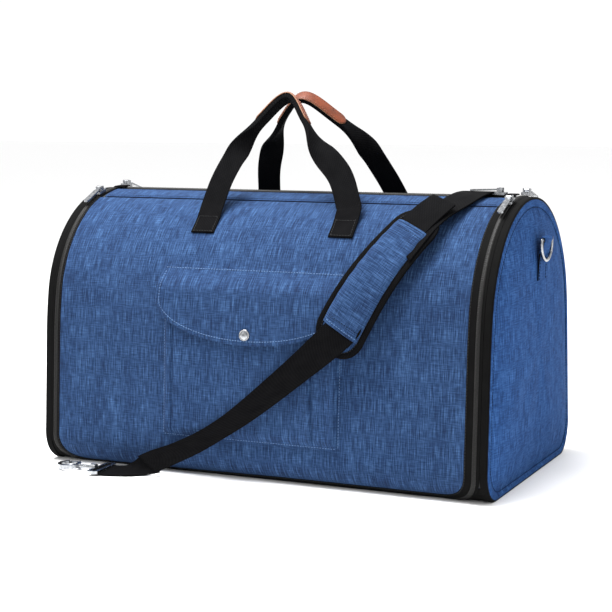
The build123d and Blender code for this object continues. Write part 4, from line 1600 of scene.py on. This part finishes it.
    def build(self) -> None:
        """Makes every piece of the strap."""
        self.pad()
        self.sleeve()
        self.front_run()
        self.rear_run()
        self.tail()


@dataclass
class ZipStops:
    """The two small tabs that cover the ends of the top zip."""

    near: float = 250.0
    far: float = 263.0

    def build(self) -> None:
        """Makes the tabs as short folded pieces of black webbing."""
        for end in End:
            x, s = spread(np.sort(end.value * edged(self.near, self.far, 8, 0.8)), edged(-5.6, 12.0, 10, 0.8))
            gap = np.minimum(np.abs(x) - self.near, self.far - np.abs(x))
            top = 5.0 - hem(gap, 1.0, 1.4)
            made = cloth(f"{end.word}_zip_stop", x, s, top, 3.3, -1, BLACK_WEBBING)
            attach(made, "front_wing")
            if end is End.RIGHT:
                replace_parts(made, "zip_end_tabs")


@dataclass
class Hardware:
    """Plated metal parts that keep their CAD shape: sliders, pulls, rings, hooks and the stud."""

    words: tuple[str, ...] = ("slider", "pull", "d_ring", "hook", "snap_stud")

    def build(self) -> None:
        """Gives each metal node the plated finish."""
        plated = NICKEL.material()
        for name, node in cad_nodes().items():
            if any(word in name for word in self.words) and not node.hide_render:
                if not node.material_slots:
                    node.data.materials.append(plated)
                for place in node.material_slots:
                    place.material = plated


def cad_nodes() -> dict[str, Piece]:
    """The CAD nodes by name."""
    return FRAME["nodes"]


@dataclass
class Studio:
    """Pale floor, soft lights and the camera."""

    yaw: float = 25.3
    pitch: float = 7.9
    roll: float = -0.5
    distance: float = 1.960
    target: tuple[float, float, float] = (-0.003, 0.0, 0.1835)
    lens: float = 95.3

    def camera(self) -> None:
        """A long lens, right of the front and slightly above."""
        yaw, pitch, roll = (math.radians(v) for v in (self.yaw, self.pitch, self.roll))
        back = Vector((math.sin(yaw) * math.cos(pitch), -math.cos(yaw) * math.cos(pitch), math.sin(pitch)))
        right = Vector((math.cos(yaw), math.sin(yaw), 0.0))
        up = back.cross(right)
        turned = right * math.cos(roll) + up * math.sin(roll)
        over = up * math.cos(roll) - right * math.sin(roll)
        data = bpy.data.cameras.new("Camera")
        data.lens = self.lens
        data.sensor_width = 36.0
        made = bpy.data.objects.new("Camera", data)
        bpy.context.scene.collection.objects.link(made)
        place = Matrix((turned, over, back)).transposed().to_4x4()
        place.translation = Vector(self.target) + back * self.distance
        made.matrix_world = place
        bpy.context.scene.camera = made

    def light(self, name: str, place: tuple[float, float, float], size: float, power: float) -> None:
        """A square soft light aimed at the bag."""
        data = bpy.data.lights.new(name, "AREA")
        data.size = size
        data.energy = power
        made = bpy.data.objects.new(name, data)
        bpy.context.scene.collection.objects.link(made)
        made.location = place
        aim = Vector((0.0, 0.0, 0.18)) - Vector(place)
        made.rotation_euler = aim.to_track_quat("-Z", "Y").to_euler()

    def floor(self) -> None:
        """A large pale floor that runs back out of sight."""
        mesh = bpy.data.meshes.new("Studio_floor")
        mesh.from_pydata([(-9, -9, 0), (9, -9, 0), (9, 9, 0), (-9, 9, 0)], [], [(0, 1, 2, 3)])
        finish = bpy.data.materials.new("Studio_Paper")
        finish.use_nodes = True
        shader = finish.node_tree.nodes["Principled BSDF"]
        shader.inputs["Base Color"].default_value = linear("#F8F8F8")
        shader.inputs["Roughness"].default_value = 0.9
        mesh.materials.append(finish)
        made = bpy.data.objects.new("Studio_floor", mesh)
        bpy.context.scene.collection.objects.link(made)
        made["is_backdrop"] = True

    def build(self) -> None:
        """Makes the whole studio."""
        self.camera()
        self.floor()
        world = bpy.data.worlds.new("Studio_world")
        world.use_nodes = True
        world.node_tree.nodes["Background"].inputs["Color"].default_value = (1.0, 1.0, 1.0, 1.0)
        world.node_tree.nodes["Background"].inputs["Strength"].default_value = 1.04
        bpy.context.scene.world = world
        bpy.context.scene.view_settings.view_transform = "Standard"
        for name, place, size, power in (
            ("Top_softbox", (-0.3, -0.3, 1.6), 1.0, 84.0),
            ("Front_softbox", (-1.5, -2.2, 1.2), 1.6, 4.0),
            ("Right_softbox", (2.4, -0.5, 1.1), 1.4, 14.0),
            ("Back_softbox", (0.4, 2.2, 1.8), 1.8, 8.0),
        ):
            self.light(name, place, size, power)


FRAME: dict = {}


def corners() -> list[list[float]]:
    """The shown object's lowest and highest corner as plain lists."""
    low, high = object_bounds()
    return [list(low), list(high)]


def main() -> None:
    """Builds the studio and every sub-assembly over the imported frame."""
    logging.basicConfig(level=logging.INFO, format="%(message)s")
    FRAME.update(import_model())
    Studio().build()
    Base().build()
    for side in Side:
        Wing(side).build()
    for end in End:
        EndPanel(end).build()
    FrontPocket().build()
    for side in Side:
        CarryHandle(side).build()
    ShoulderStrap().build()
    ZipStops().build()
    Hardware().build()


if __name__ == "__main__":
    main()
